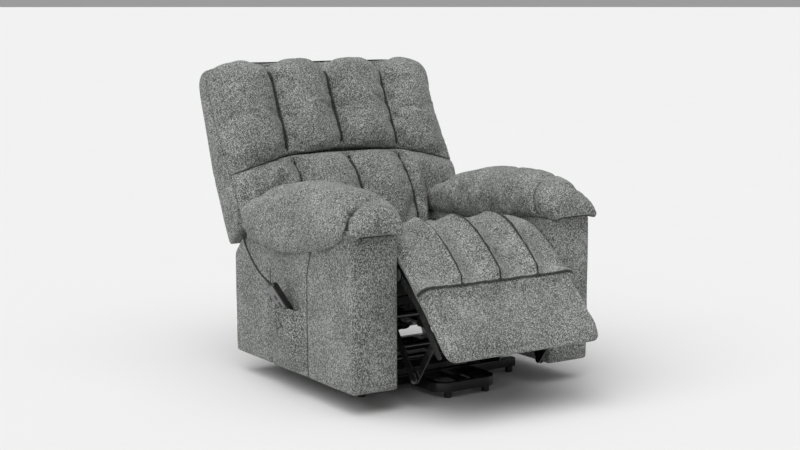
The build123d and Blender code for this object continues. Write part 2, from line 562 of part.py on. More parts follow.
def make_leg_rest():
    """Padded board, its hinge arms, and the crank and coupler linkage."""
    back = LEG_FACE - LEG_PAD - LEG_BOARD
    front = back + LEG_BOARD
    board = [(back, LEG_TOP + 6), (front, LEG_TOP + 6), (front, LEG_BOTTOM - 8), (back, LEG_BOTTOM - 8)]
    save("legrest_board", leg_slab(board, -LEG_HALF, LEG_HALF))
    pad = leg_slab([(front, LEG_TOP), (LEG_FACE, LEG_TOP), (LEG_FACE, LEG_BOTTOM), (front, LEG_BOTTOM)],
                   -LEG_HALF + 2, LEG_HALF - 2)
    save("legrest_pad", fillet(pad.edges(), 22))

    knee = leg_point(back + 4, LEG_TOP + 30)
    foot = leg_point(back + 4, LEG_BOTTOM - 50)
    arm = (bar(PIVOT_H, knee, 26, LEG_HALF, LEG_HALF + SIDE_PLATE) + bar(knee, foot, 26, LEG_HALF, LEG_HALF + SIDE_PLATE))
    arm -= rod(PIVOT_H, PIN + RUNNING, LEG_HALF, LEG_HALF + SIDE_PLATE)
    lug = leg_slab([(back, LEG_REACH - 24), (back, LEG_REACH + 24), (LEG_BACKSET, LEG_REACH + 12),
                    (LEG_BACKSET, LEG_REACH - 12)], CRANK_X, CRANK_X + PLATE)
    lug += rod(PIVOT_Q, 2 * PIN, CRANK_X, CRANK_X + PLATE)
    lug += rod(PIVOT_Q, PIN, COUPLER_X - 2, CRANK_X)
    save("legrest_brackets", Compound(children=[arm, mirrored(arm), lug, mirrored(lug)]))

    lever = bar(PIVOT_P, LEG_LUG, 24, LEG_ACTUATOR_X - EAR, LEG_ACTUATOR_X + EAR)
    lever -= rod(PIVOT_P, 11, LEG_ACTUATOR_X - EAR, LEG_ACTUATOR_X + EAR)
    pin_half = 2 * EAR + FACE_GAP + 1
    tube = rod(PIVOT_P, 12, -CRANK_X, CRANK_X, 9.5) + lever
    save("leg_crank_tube", tube + rod(LEG_LUG, PIN, LEG_ACTUATOR_X - pin_half, LEG_ACTUATOR_X + pin_half))
    crank = bar(PIVOT_P, PIVOT_R, 28, CRANK_X, CRANK_X + PLATE)
    crank += rod(PIVOT_P, 12, CRANK_X, CHASSIS_OUTER + 2) + rod(PIVOT_R, PIN, COUPLER_X - 2, CRANK_X)
    save("leg_cranks", both(crank))
    coupler = bar(PIVOT_R, PIVOT_Q, 24, COUPLER_X, COUPLER_X + PLATE)
    for pivot in (PIVOT_R, PIVOT_Q):
        coupler -= rod(pivot, PIN + RUNNING, COUPLER_X, COUPLER_X + PLATE)
    save("leg_couplers", both(coupler))


# ================================================================= handset
def unit(vector):
    """The vector at length one."""
    size = math.sqrt(sum(part * part for part in vector))
    return tuple(part / size for part in vector)


LEAN = unit(HANDSET_LEAN)
FACE_NORMAL = unit(tuple(-1 * (i == 0) + LEAN[0] * part for i, part in enumerate(LEAN)))
RELIEF_LEAN = unit(tuple(there - here for there, here in zip(CORD_MIDDLE[-1], HANDSET_TOP)))
HANDSET_PLANE = Plane(origin=HANDSET_TOP, x_dir=Vector(*LEAN).cross(Vector(*FACE_NORMAL)), z_dir=FACE_NORMAL)


def oval(width, length, y, z0, z1):
    """Upright oval block in the handset's own directions."""
    sketch = Pos(0, y, z0) * Rot(0, 0, 90) * SlotOverall(length, width)
    return extrude(sketch, amount=z1 - z0)


def make_handset():
    """Two-button control with a face plate, strain relief and its cord."""
    half_w, half_t = HANDSET_WIDTH / 2, HANDSET_THICK / 2
    body = box_between((-half_w, -HANDSET_LENGTH, -half_t), (half_w, 0, half_t))
    body = fillet(body.edges().filter_by(Axis.Z), 14)
    body = fillet(body.edges().group_by(Axis.Z)[0] + body.edges().group_by(Axis.Z)[-1], HANDSET_ROUND - 3)
    face = Pos(0, -HANDSET_LENGTH / 2, half_t) * RectangleRounded(
        HANDSET_WIDTH - 2 * FACE_BORDER, HANDSET_LENGTH - 2 * FACE_BORDER, 9)
    face = extrude(face, amount=FACE_PLATE)
    floor = half_t - BUTTON_TRAVEL - 2
    for name, y in BUTTON_PLACES.items():
        well = oval(BUTTON_WIDTH + 2 * BUTTON_GAP, BUTTON_LENGTH + 2 * BUTTON_GAP, y, floor, half_t + 2 * FACE_PLATE)
        body -= well
        face -= well
        button = oval(BUTTON_WIDTH, BUTTON_LENGTH, y, floor + BUTTON_TRAVEL + 0.5, half_t + FACE_PLATE + BUTTON_PROUD)
        save(name, HANDSET_PLANE.location * button)
    save("handset_body", HANDSET_PLANE.location * body)
    save("handset_face", HANDSET_PLANE.location * face)
    relief_frame = Plane(origin=HANDSET_TOP, z_dir=RELIEF_LEAN)
    relief = Cone(RELIEF_BASE, RELIEF_TIP, RELIEF_LENGTH, align=(Align.CENTER, Align.CENTER, Align.MIN))
    root = Pos(0, 0, -RELIEF_BASE) * Cylinder(RELIEF_BASE, 2 * RELIEF_BASE)
    relief = relief_frame.location * (relief + root) - HANDSET_PLANE.location * body
    save("handset_strain_relief", relief.solids().sort_by(SortBy.VOLUME)[-1])


def make_cord():
    """Free stretch of the handset cord, from the gland down to the strain relief."""
    tip = Vector(*HANDSET_TOP) + Vector(*RELIEF_LEAN) * RELIEF_LENGTH
    points = [Vector(*GLAND_TIP)] + [Vector(*p) for p in CORD_MIDDLE] + [tip]
    radii, runs = [], []
    for before, here, after in zip(points, points[1:], points[2:]):
        first, second = here - before, after - here
        turn = math.radians(first.get_angle(second))
        radii.append(0.45 * min(first.length, second.length) / math.tan(turn / 2))
    for before, here in zip(points, points[1:]):
        runs.append((here - before).length)
    path = FilletPolyline(*points, radius=radii)
    section = Plane(origin=path @ 0, z_dir=path % 0) * Circle(CORD_RADIUS)
    cord = sweep(section, path=path)
    print("cord radii", [round(r, 1) for r in radii])
    print("cord runs", [round(r, 1) for r in runs], "length", round(path.length, 1))
    expected = math.pi * CORD_RADIUS ** 2 * path.length
    print("cord volume", round(cord.volume, 1), "section x length", round(expected, 1))
    save("handset_cord", cord)

    start = points[0]
    out = unit(tuple(start - points[1]))
    frame = Plane(origin=start, z_dir=out)
    spout = Cone(CORD_RADIUS + 1.5, GLAND_RADIUS, GLAND_LENGTH, align=(Align.CENTER, Align.CENTER, Align.MIN))
    flange = box_between((start.X, start.Y - 11, start.Z + 2), (-ARM_OUTER, start.Y + 5, start.Z + 20))
    inside = box_between((-ARM_OUTER, start.Y - 60, start.Z - 60), (-ARM_OUTER + 60, start.Y + 60, start.Z + 60))
    save("cord_gland", frame.location * spout + flange - inside)


def main():
    """Build every piece of the chair."""
    os.makedirs("parts", exist_ok=True)
    make_base()
    make_lift_arms()
    make_actuators()
    make_chassis()
    make_arms()
    make_pocket()
    make_backrest()
    make_leg_rest()
    make_handset()
    make_cord()


if __name__ == "__main__":
    main()
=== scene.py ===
"""Looks of a power lift recliner armchair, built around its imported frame.

The steel mechanism keeps its own solids and only gets finishes.  Everything
that is upholstered is made here as lattice shells that are shaped, smoothed,
inflated as cloth between their sewn lines and dressed in a heathered weave.
Depths in the sewing patterns are measured back from the front of the arms.
"""

import json
import logging
import math
from dataclasses import dataclass
from enum import Enum
from typing import Callable, Sequence

import bpy
import numpy as np
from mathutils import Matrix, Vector, noise


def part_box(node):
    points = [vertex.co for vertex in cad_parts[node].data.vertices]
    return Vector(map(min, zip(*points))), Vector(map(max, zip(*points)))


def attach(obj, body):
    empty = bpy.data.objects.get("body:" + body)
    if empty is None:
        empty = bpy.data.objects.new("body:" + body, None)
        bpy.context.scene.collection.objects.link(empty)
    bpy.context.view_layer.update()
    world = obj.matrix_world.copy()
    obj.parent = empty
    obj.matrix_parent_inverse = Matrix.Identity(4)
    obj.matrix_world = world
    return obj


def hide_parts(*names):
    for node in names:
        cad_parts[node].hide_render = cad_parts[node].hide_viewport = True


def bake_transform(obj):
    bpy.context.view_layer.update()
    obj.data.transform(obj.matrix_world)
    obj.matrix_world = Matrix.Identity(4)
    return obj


log = logging.getLogger("recliner")

Point = tuple[float, float, float]
Pair = tuple[float, float]

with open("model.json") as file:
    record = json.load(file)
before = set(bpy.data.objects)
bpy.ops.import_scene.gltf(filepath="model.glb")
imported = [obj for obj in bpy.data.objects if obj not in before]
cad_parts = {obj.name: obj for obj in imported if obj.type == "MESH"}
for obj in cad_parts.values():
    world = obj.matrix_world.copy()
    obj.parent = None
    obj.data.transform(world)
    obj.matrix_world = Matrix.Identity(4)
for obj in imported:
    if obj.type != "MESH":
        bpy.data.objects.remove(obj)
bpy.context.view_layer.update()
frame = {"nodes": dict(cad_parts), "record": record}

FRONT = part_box("arm_box_right")[0].y          # front face of the arms

DUST_GREY = 150             # display grey of the dust on hard surfaces
CORNER_SPAN = 0.16          # share of the back's height over which its corners round
FAR_SEAM = 9.0              # stands in where a cushion has no seams
RIM = 0.004                 # marks this near a shell's edge count as its rim
ON_SIDE = 0.001             # and this near a side, as lying on it
SHOWN = 0.9                 # marks past this share through a shell are its outside


# --------------------------------------------------------------------------
# helpers
# --------------------------------------------------------------------------
def deselect() -> None:
    """Clear the selection, so that the next operator acts on one piece."""
    if bpy.context.object and bpy.context.object.mode != "OBJECT":
        bpy.ops.object.mode_set(mode="OBJECT")
    bpy.ops.object.select_all(action="DESELECT")


def make_active(piece: bpy.types.Object) -> None:
    """Select one piece alone and make it active."""
    deselect()
    piece.select_set(True)
    bpy.context.view_layer.objects.active = piece


def apply_modifier(piece: bpy.types.Object, kind: str, **settings: object) -> None:
    """Add a modifier, set it up and apply it.

    Args:
        piece: the mesh to change.
        kind: the modifier's type.
        **settings: the modifier's properties by name.
    """
    make_active(piece)
    bpy.ops.object.modifier_add(type=kind)
    modifier = piece.modifiers[-1]
    for name, value in settings.items():
        setattr(modifier, name, value)
    bpy.ops.object.modifier_apply(modifier=modifier.name)


def smooth_shade(piece: bpy.types.Object) -> None:
    """Shade every face of a piece smooth."""
    make_active(piece)
    bpy.ops.object.shade_smooth()


def coordinates(piece: bpy.types.Object) -> np.ndarray:
    """The piece's vertices as rows of x, y and z."""
    flat = np.zeros(len(piece.data.vertices) * 3)
    piece.data.vertices.foreach_get("co", flat)
    return flat.reshape(-1, 3)


def set_coordinates(piece: bpy.types.Object, rows: np.ndarray) -> None:
    """Put the piece's vertices at the given rows."""
    piece.data.vertices.foreach_set("co", np.ascontiguousarray(rows).reshape(-1))
    piece.data.update()


def normals(piece: bpy.types.Object) -> np.ndarray:
    """The piece's vertex normals as rows."""
    flat = np.zeros(len(piece.data.vertices) * 3)
    piece.data.vertices.foreach_get("normal", flat)
    return flat.reshape(-1, 3)


def smoothstep(low: float, high: float, value: np.ndarray) -> np.ndarray:
    """Ease from 0 to 1 while value goes from low to high.

    Args:
        low: where the ease starts.
        high: where it ends.
        value: what is eased.

    Returns:
        The eased share of each value.
    """
    t = np.clip((value - low) / (high - low), 0.0, 1.0)
    return t * t * (3.0 - 2.0 * t)


def face_outward(piece: bpy.types.Object) -> None:
    """Turn every face of a piece outwards."""
    make_active(piece)
    bpy.ops.object.mode_set(mode="EDIT")
    bpy.ops.mesh.select_all(action="SELECT")
    bpy.ops.mesh.normals_make_consistent(inside=False)
    bpy.ops.object.mode_set(mode="OBJECT")


def gap_to(x: np.ndarray, seams: Sequence[float]) -> np.ndarray:
    """Distance across from the nearest of some seams."""
    return np.min([np.abs(x - seam) for seam in seams], axis=0)


def spread(across: np.ndarray, half: float) -> np.ndarray:
    """x of marks that run from 0 to 1 across a piece of that half width."""
    return (across * 2 - 1) * half


def pinch(gap: np.ndarray, width: float, power: float, depth: float) -> np.ndarray:
    """How deep a seam draws cloth in at a distance from it.

    Args:
        gap: distance from the seam.
        width: reach of the draw to one side.
        power: sharpness of its valley.
        depth: its depth on the seam.

    Returns:
        The depth at each distance.
    """
    return np.clip(1 - gap / width, 0, 1) ** power * depth


def curve_through(points: Sequence[Pair], at: np.ndarray) -> np.ndarray:
    """Smooth plane curve through points, read at shares of its length.

    Args:
        points: the curve's points.
        at: shares from 0 to 1.

    Returns:
        One (y, z) row for each share.
    """
    p = np.array(points, float)
    ends = np.vstack([2 * p[0] - p[1], p, 2 * p[-1] - p[-2]])
    dense = []
    for a, b, c, d in zip(ends, ends[1:], ends[2:], ends[3:]):
        t = np.linspace(0, 1, 24, endpoint=False)[:, None]
        dense.append(0.5 * (2 * b + (c - a) * t + (2 * a - 5 * b + 4 * c - d) * t ** 2
                            + (3 * b - a - 3 * c + d) * t ** 3))
    line = np.vstack(dense + [p[-1:]])
    steps = np.hypot(*np.diff(line, axis=0).T)
    length = np.concatenate([[0.0], np.cumsum(steps)])
    share = np.asarray(at) * length[-1]
    return np.column_stack([np.interp(share, length, line[:, i]) for i in (0, 1)])


def ripple(rows: np.ndarray, scale: float, seed: float) -> np.ndarray:
    """Slow random relief at each row, about -1 to 1.

    Args:
        rows: places to read the relief at.
        scale: waves per metre.
        seed: offset that picks another relief.
    """
    shift = Vector((seed, seed * 0.7, seed * 1.3))
    return np.array([noise.noise(Vector(row) * scale + shift) for row in rows])


def lattice_shell(name: str, counts: tuple[int, int, int]) -> bpy.types.Object:
    """Unit cube shell whose faces are divided evenly along each axis.

    Args:
        name: the new piece's name.
        counts: divisions along x, y and z.
    """
    deselect()
    bpy.ops.mesh.primitive_cube_add(size=1.0, location=(0.5, 0.5, 0.5))
    piece = bpy.context.object
    piece.name = name
    piece.data.name = name
    bpy.ops.object.transform_apply(location=True, rotation=True, scale=True)
    for axis, count in enumerate(counts):
        rows = coordinates(piece)
        for edge in piece.data.edges:
            a, b = (rows[i] for i in edge.vertices)
            edge.select = abs(a[axis] - b[axis]) > 0.5
        for face in piece.data.polygons:
            face.select = False
        for vertex in piece.data.vertices:
            vertex.select = False
        bpy.context.tool_settings.mesh_select_mode = (False, True, False)
        bpy.ops.object.mode_set(mode="EDIT")
        if count > 1:
            bpy.ops.mesh.subdivide(number_cuts=count - 1)
        bpy.ops.object.mode_set(mode="OBJECT")
    return piece


def move_by_rule(piece: bpy.types.Object, rule: Callable[[np.ndarray], np.ndarray]) -> np.ndarray:
    """Shape a lattice shell by a rule on its unit places.

    Args:
        piece: a shell from lattice_shell.
        rule: gives the row-frame places for unit places.

    Returns:
        The unit places, which stay the vertices' pattern marks.
    """
    marks = coordinates(piece)
    set_coordinates(piece, rule(marks))
    return marks


def soften(piece: bpy.types.Object, rounds: int, factor: float = 0.5) -> None:
    """Round a shell's edges by averaging neighbours.

    Args:
        piece: the shell.
        rounds: how often it is averaged.
        factor: how far each round goes.
    """
    apply_modifier(piece, "SMOOTH", iterations=rounds, factor=factor)


def inflate(piece: bpy.types.Object, held: np.ndarray, pressure: float, cap: float,
            slack: float = 0.02, frames: int = 20) -> None:
    """Blow a piece up as cloth between its held vertices.

    Args:
        piece: the mesh, with its seams where they belong.
        held: how firmly each vertex stays, from 0 to 1.
        pressure: the filling's push.
        cap: most that a vertex may move, in metres.
        slack: how much larger the cloth is cut than the shape it covers.
        frames: steps to run.
    """
    before = coordinates(piece)
    group = piece.vertex_groups.new(name="seams")
    firmness = np.round(held, 1)
    for level in np.unique(firmness[firmness > 0]):
        group.add(np.nonzero(firmness == level)[0].tolist(), float(level), "REPLACE")
    make_active(piece)
    bpy.ops.object.modifier_add(type="CLOTH")
    cloth = piece.modifiers[-1]
    cloth.settings.quality = 4
    cloth.settings.mass = 0.35
    cloth.settings.use_pressure = True
    cloth.settings.uniform_pressure_force = pressure
    cloth.settings.vertex_group_mass = group.name
    cloth.settings.shrink_min = -slack
    cloth.settings.tension_stiffness = 12
    cloth.settings.compression_stiffness = 12
    cloth.settings.bending_stiffness = 0.6
    cloth.settings.effector_weights.gravity = 0.0
    cloth.collision_settings.use_collision = False
    scene = bpy.context.scene
    for step in range(1, frames + 1):
        scene.frame_set(step)
    bpy.ops.object.modifier_apply(modifier=cloth.name)
    scene.frame_set(1)
    after = coordinates(piece)
    move = after - before
    far = np.linalg.norm(move, axis=1, keepdims=True)
    set_coordinates(piece, before + move * np.minimum(1.0, cap / np.maximum(far, 1e-9)))
    piece.vertex_groups.clear()


def report(piece: bpy.types.Object) -> bpy.types.Object:
    """Log a finished piece and give it back."""
    size = piece.dimensions
    log.info("%s: %d faces, %.3f x %.3f x %.3f m", piece.name, len(piece.data.polygons), *size)
    return piece


# --------------------------------------------------------------------------
# finishes
# --------------------------------------------------------------------------
class Graph:
    """A shader node tree that is filled one node at a time."""

    def __init__(self, tree: bpy.types.NodeTree) -> None:
        """Start on a tree."""
        self.tree = tree

    def node(self, kind: str, inputs: dict | None = None, **settings: object) -> bpy.types.Node:
        """Add a node, link or set its inputs, and give it back.

        Args:
            kind: the node's type name.
            inputs: values or sockets for its inputs, by name or place.
            **settings: the node's own properties.
        """
        new = self.tree.nodes.new(kind)
        for name, value in settings.items():
            setattr(new, name, value)
        self.feed(new, inputs or {})
        return new

    def feed(self, node: bpy.types.Node, inputs: dict) -> None:
        """Link or set a node's inputs.

        Args:
            node: the node to feed.
            inputs: values or sockets for its inputs, by name or place.
        """
        for key, value in inputs.items():
            if isinstance(value, bpy.types.NodeSocket):
                self.tree.links.new(value, node.inputs[key])
            else:
                node.inputs[key].default_value = value

    def math(self, operation: str, *values: object) -> bpy.types.NodeSocket:
        """Add a Math node on the given values and give its output."""
        return self.node("ShaderNodeMath", dict(enumerate(values)), operation=operation).outputs[0]

    def mix(self, share: object, low: object, high: object) -> bpy.types.NodeSocket:
        """Mix two colours by a share and give the result.

        Args:
            share: how much of the second.
            low: the colour at 0.
            high: the colour at 1.

        Returns:
            The mixed colour.
        """
        return self.node("ShaderNodeMix", {0: share, 6: low, 7: high}, data_type="RGBA").outputs[2]

    def noise(self, place: bpy.types.NodeSocket, scale: object, detail: float,
              **more: float) -> bpy.types.NodeSocket:
        """Add a noise texture and give its output.

        Args:
            place: where it is read.
            scale: its scale, as a number or a socket.
            detail: its octaves.
            **more: its other inputs by name.

        Returns:
            The noise's value.
        """
        inputs = {"Vector": place, "Scale": scale, "Detail": detail, **more}
        return self.node("ShaderNodeTexNoise", inputs).outputs[0]

    def remap(self, value: bpy.types.NodeSocket, low: float = 0.0, high: float = 1.0,
              to_low: float = 0.0, to_high: float = 1.0) -> bpy.types.NodeSocket:
        """Carry a value from one range to another and give the result.

        Args:
            value: what is carried.
            low: start of its range.
            high: end of its range.
            to_low: what the start becomes.
            to_high: what the end becomes.

        Returns:
            The new value.
        """
        limits = {"From Min": low, "From Max": high, "To Min": to_low, "To Max": to_high}
        return self.node("ShaderNodeMapRange", {"Value": value, **limits}).outputs[0]

    def bump(self, height: bpy.types.NodeSocket, strength: float, distance: float) -> bpy.types.NodeSocket:
        """Add a Bump node on a height and give its normal.

        Args:
            height: the relief.
            strength: how strongly it shows.
            distance: its depth in metres.

        Returns:
            The bent normal.
        """
        inputs = {"Height": height, "Strength": strength, "Distance": distance}
        return self.node("ShaderNodeBump", inputs).outputs[0]


def group(name: str, inputs: dict[str, float], outputs: Sequence[str],
          fill: Callable[[Graph, dict, dict], None]) -> bpy.types.NodeTree:
    """Make a shader node group with a Vector input and number inputs.

    Args:
        name: the group's name.
        inputs: the number inputs with their usual values.
        outputs: names of the number outputs.
        fill: builds the inside from the graph, its inputs and its outputs.
    """
    tree = bpy.data.node_groups.new(name, "ShaderNodeTree")
    tree.interface.new_socket("Vector", in_out="INPUT", socket_type="NodeSocketVector")
    for label, value in inputs.items():
        socket = tree.interface.new_socket(label, in_out="INPUT", socket_type="NodeSocketFloat")
        socket.default_value = value
    for label in outputs:
        tree.interface.new_socket(label, in_out="OUTPUT", socket_type="NodeSocketFloat")
    graph = Graph(tree)
    start = graph.node("NodeGroupInput")
    end = graph.node("NodeGroupOutput")
    results = {}
    fill(graph, {socket.name: socket for socket in start.outputs if socket.name}, results)
    for label in outputs:
        tree.links.new(results[label], end.inputs[label])
    return tree


def heather_group() -> bpy.types.NodeTree:
    """Marled yarn: a speck shade, a thread height and slow cloudiness."""
    def fill(g: Graph, given: dict, made: dict) -> None:
        """Build the yarn from cells of random shade."""
        place = given["Vector"]
        slub = g.node("ShaderNodeMapping", {"Vector": place, "Scale": (1.0, 1.0, 0.55)})
        specks = g.node("ShaderNodeTexVoronoi", {"Vector": slub.outputs[0], "Scale": given["Specks"]})
        shade = g.node("ShaderNodeSeparateColor", {0: specks.outputs["Color"]}).outputs[0]
        fleck = g.noise(place, g.math("MULTIPLY", given["Specks"], 0.62), 1.0, Roughness=0.6)
        cloud = g.noise(place, 9.0, 3.0)
        mixed = g.math("ADD", g.math("MULTIPLY", shade, 0.5), g.math("MULTIPLY", fleck, 0.5))
        made["Shade"] = g.math("ADD", mixed, g.math("MULTIPLY", g.math("SUBTRACT", cloud, 0.5), 0.22))
        thread = g.math("SUBTRACT", 1.0, specks.outputs["Distance"])
        made["Height"] = g.math("ADD", g.math("MULTIPLY", thread, 0.6), g.math("MULTIPLY", fleck, 0.8))
        made["Cloud"] = cloud
    return group("heather", {"Specks": 330.0}, ("Shade", "Height", "Cloud"), fill)


def grain_group() -> bpy.types.NodeTree:
    """Moulded or sprayed surface: fine grain height and slow smudges."""
    def fill(g: Graph, given: dict, made: dict) -> None:
        """Build fine grain and slow smudges from noise."""
        place = given["Vector"]
        made["Height"] = g.noise(place, given["Grain"], 2.0)
        smudge = g.noise(place, given["Smudge"], 4.0, Roughness=0.6)
        made["Smudge"] = g.remap(smudge, 0.35, 0.65)
    return group("grain", {"Grain": 700.0, "Smudge": 14.0}, ("Height", "Smudge"), fill)


def dust_group() -> bpy.types.NodeTree:
    """Fine dust that lies on what faces up, in patches."""
    def fill(g: Graph, given: dict, made: dict) -> None:
        """Build the patches and keep them where the surface faces up."""
        facing = g.node("ShaderNodeNewGeometry").outputs["Normal"]
        lying = g.remap(g.node("ShaderNodeSeparateXYZ", {0: facing}).outputs[2], 0.2, 1.0)
        patch = g.remap(g.noise(given["Vector"], 38.0, 5.0), 0.4, 0.7)
        made["Dust"] = g.math("MULTIPLY", g.math("MULTIPLY", lying, patch), given["Amount"])
    return group("dust", {"Amount": 0.2}, ("Dust",), fill)


def start_material(name: str) -> tuple[bpy.types.Material, Graph, bpy.types.Node, bpy.types.NodeSocket]:
    """New material with its graph, its shader and its Object coordinates."""
    material = bpy.data.materials.new(name)
    material.use_nodes = True
    graph = Graph(material.node_tree)
    shader = material.node_tree.nodes["Principled BSDF"]
    return material, graph, shader, graph.node("ShaderNodeTexCoord").outputs["Object"]


def grey(level: float, green: float = 0.0) -> tuple[float, float, float, float]:
    """Linear colour of a display grey from 0 to 255, leaning towards green by a share."""
    share = level / 255
    linear = share / 12.92 if share <= 0.04045 else ((share + 0.055) / 1.055) ** 2.4
    return (linear * (1 - green), linear * (1 + green), linear * (1 - 1.6 * green), 1.0)


@dataclass(frozen=True)
class Weave:
    """Heathered upholstery cloth, darkened as painted shade on its marked seams and creases."""

    name: str
    dark: int = 46
    middle: int = 110
    light: int = 190
    specks: float = 540.0
    relief: float = 0.0006
    green: float = 0.018

    def build(self, groups: "Groups") -> bpy.types.Material:
        """Make the cloth's material."""
        material, g, shader, place = start_material(self.name)
        yarn = g.node("ShaderNodeGroup", {"Vector": place, "Specks": self.specks}, node_tree=groups.heather)
        ramp = g.node("ShaderNodeValToRGB", {0: yarn.outputs["Shade"]})
        ramp.color_ramp.elements[0].position = 0.22
        ramp.color_ramp.elements[0].color = grey(self.dark, self.green)
        ramp.color_ramp.elements[1].position = 0.78
        ramp.color_ramp.elements[1].color = grey(self.light, self.green)
        ramp.color_ramp.elements.new(0.5).color = grey(self.middle, self.green)
        # Painted shade: the cloth darkens towards a third of its darkest grey where the 'sewn' mark lies on
        # seams, creases and folds.
        sewn = g.node("ShaderNodeAttribute", attribute_name="sewn").outputs["Fac"]
        crease_shaded_colour = g.mix(g.remap(sewn, 0.25, 0.70, to_high=0.88), ramp.outputs[0], grey(self.dark // 3))
        g.feed(shader, {
            "Base Color": crease_shaded_colour, "Roughness": g.remap(yarn.outputs["Cloud"], to_low=0.82, to_high=0.97),
            "Normal": g.bump(yarn.outputs["Height"], 0.55, self.relief),
            "Sheen Weight": 0.12, "Sheen Roughness": 0.45, "Specular IOR Level": 0.25,
        })
        return material


@dataclass(frozen=True)
class Shell:
    """Moulded, painted or bare hard surface with grain, smudges and dust."""

    name: str
    base: int
    rubbed: int
    smooth: float
    dull: float
    metallic: float = 0.0
    coat: float = 0.0
    grain: float = 700.0
    relief: float = 0.00008
    stretch: tuple[float, float, float] = (1.0, 1.0, 1.0)
    dust: float = 0.12

    def build(self, groups: "Groups") -> bpy.types.Material:
        """Make the surface's material."""
        material, g, shader, place = start_material(self.name)
        drawn = g.node("ShaderNodeMapping", {"Vector": place, "Scale": self.stretch}).outputs[0]
        skin = g.node("ShaderNodeGroup", {"Vector": drawn, "Grain": self.grain}, node_tree=groups.grain)
        dust = g.node("ShaderNodeGroup", {"Vector": place, "Amount": self.dust}, node_tree=groups.dust)
        worn = g.mix(skin.outputs["Smudge"], grey(self.base), grey(self.rubbed))
        rough = g.remap(skin.outputs["Smudge"], to_low=self.smooth, to_high=self.dull)
        g.feed(shader, {
            "Base Color": g.mix(dust.outputs["Dust"], worn, grey(DUST_GREY)),
            "Roughness": g.math("ADD", rough, g.math("MULTIPLY", dust.outputs["Dust"], 0.4)),
            "Normal": g.bump(skin.outputs["Height"], 0.5, self.relief),
            "Metallic": self.metallic, "Coat Weight": self.coat, "Coat Roughness": 0.08,
        })
        return material


@dataclass(frozen=True)
class Plywood:
    """Birch board with thin plies on its edges and long grain on its faces."""

    name: str = "birch_plywood"

    def build(self, groups: "Groups") -> bpy.types.Material:
        """Make the board's material."""
        material, g, shader, place = start_material(self.name)
        along = g.node("ShaderNodeMapping", {"Vector": place, "Scale": (1.0, 14.0, 14.0)}).outputs[0]
        grain = g.noise(along, 9.0, 6.0, Distortion=0.6)
        skin = g.node("ShaderNodeGroup", {"Vector": place}, node_tree=groups.grain)
        pale = g.mix(grain, (0.42, 0.27, 0.14, 1.0), (0.68, 0.50, 0.31, 1.0))
        aged = g.mix(g.math("MULTIPLY", skin.outputs["Smudge"], 0.25), pale, (0.30, 0.19, 0.10, 1.0))
        g.feed(shader, {"Base Color": aged, "Roughness": g.remap(grain, to_low=0.5, to_high=0.72),
                        "Normal": g.bump(grain, 0.3, 0.0003)})
        return material


class Groups:
    """The shader node groups that the finishes share."""

    def __init__(self) -> None:
        """Make each group once."""
        self.heather = heather_group()
        self.grain = grain_group()
        self.dust = dust_group()


class Finish(Enum):
    """Every finish on the chair."""

    CLOTH = Weave("heathered_cloth")
    LINING = Weave("black_lining", dark=14, middle=22, light=34, specks=900.0, relief=0.0002)
    POWDER = Shell("gloss_black_powder", 9, 16, 0.13, 0.24, coat=0.6, grain=420.0, relief=0.00006,
                   dust=0.03)
    DARK_TUBE = Shell("dark_steel_tube", 34, 52, 0.32, 0.48, metallic=0.8, grain=900.0)
    ZINC = Shell("zinc_plated_steel", 150, 178, 0.30, 0.48, metallic=1.0, grain=500.0, relief=0.00004)
    BRIGHT = Shell("ground_steel_rod", 196, 214, 0.12, 0.22, metallic=1.0, grain=900.0,
                   stretch=(1.0, 1.0, 0.05), dust=0.03)
    MOTOR = Shell("black_moulding", 22, 34, 0.42, 0.58, grain=1300.0, relief=0.00012)
    HANDSET = Shell("gloss_black_moulding", 8, 14, 0.12, 0.22, coat=0.4, grain=2200.0, relief=0.00002,
                    dust=0.04)
    FACE = Shell("grey_face_plate", 112, 122, 0.36, 0.46, grain=2600.0, relief=0.00005, dust=0.04)
    RUBBER = Shell("black_rubber", 9, 16, 0.50, 0.66, grain=1600.0, relief=0.0001, dust=0.03)
    BOARD = Plywood()


class Wardrobe:
    """Builds each finish once and puts it on pieces."""

    def __init__(self) -> None:
        """Build every finish."""
        groups = Groups()
        self.materials = {finish: finish.value.build(groups) for finish in Finish}

    def dress(self, piece: bpy.types.Object, finish: Finish) -> None:
        """Give all of a piece's slots one finish."""
        if not piece.material_slots:
            piece.data.materials.append(None)
        for place in piece.material_slots:
            place.material = self.materials[finish]

    def dress_frame(self) -> None:
        """Finish the shown steel, plastic and board nodes by their slots."""
        by_slot = {
            "plywood": Finish.BOARD, "black_plastic": Finish.MOTOR, "grey_plastic": Finish.FACE,
            "black_rubber": Finish.RUBBER, "bright_steel": Finish.BRIGHT, "zinc_steel": Finish.ZINC,
            "dark_tube": Finish.DARK_TUBE, "black_steel": Finish.POWDER, "upholstery": Finish.CLOTH,
        }
        for part in frame["record"]["subparts"]:
            self.dress(frame["nodes"][part["node"]], by_slot[part["material_slot"]])
        for node in ("handset_body", "button_up", "button_down"):
            self.dress(frame["nodes"][node], Finish.HANDSET)
        for node in ("seat_cross_rails", "seat_side_rails"):
            self.dress(frame["nodes"][node], Finish.LINING)


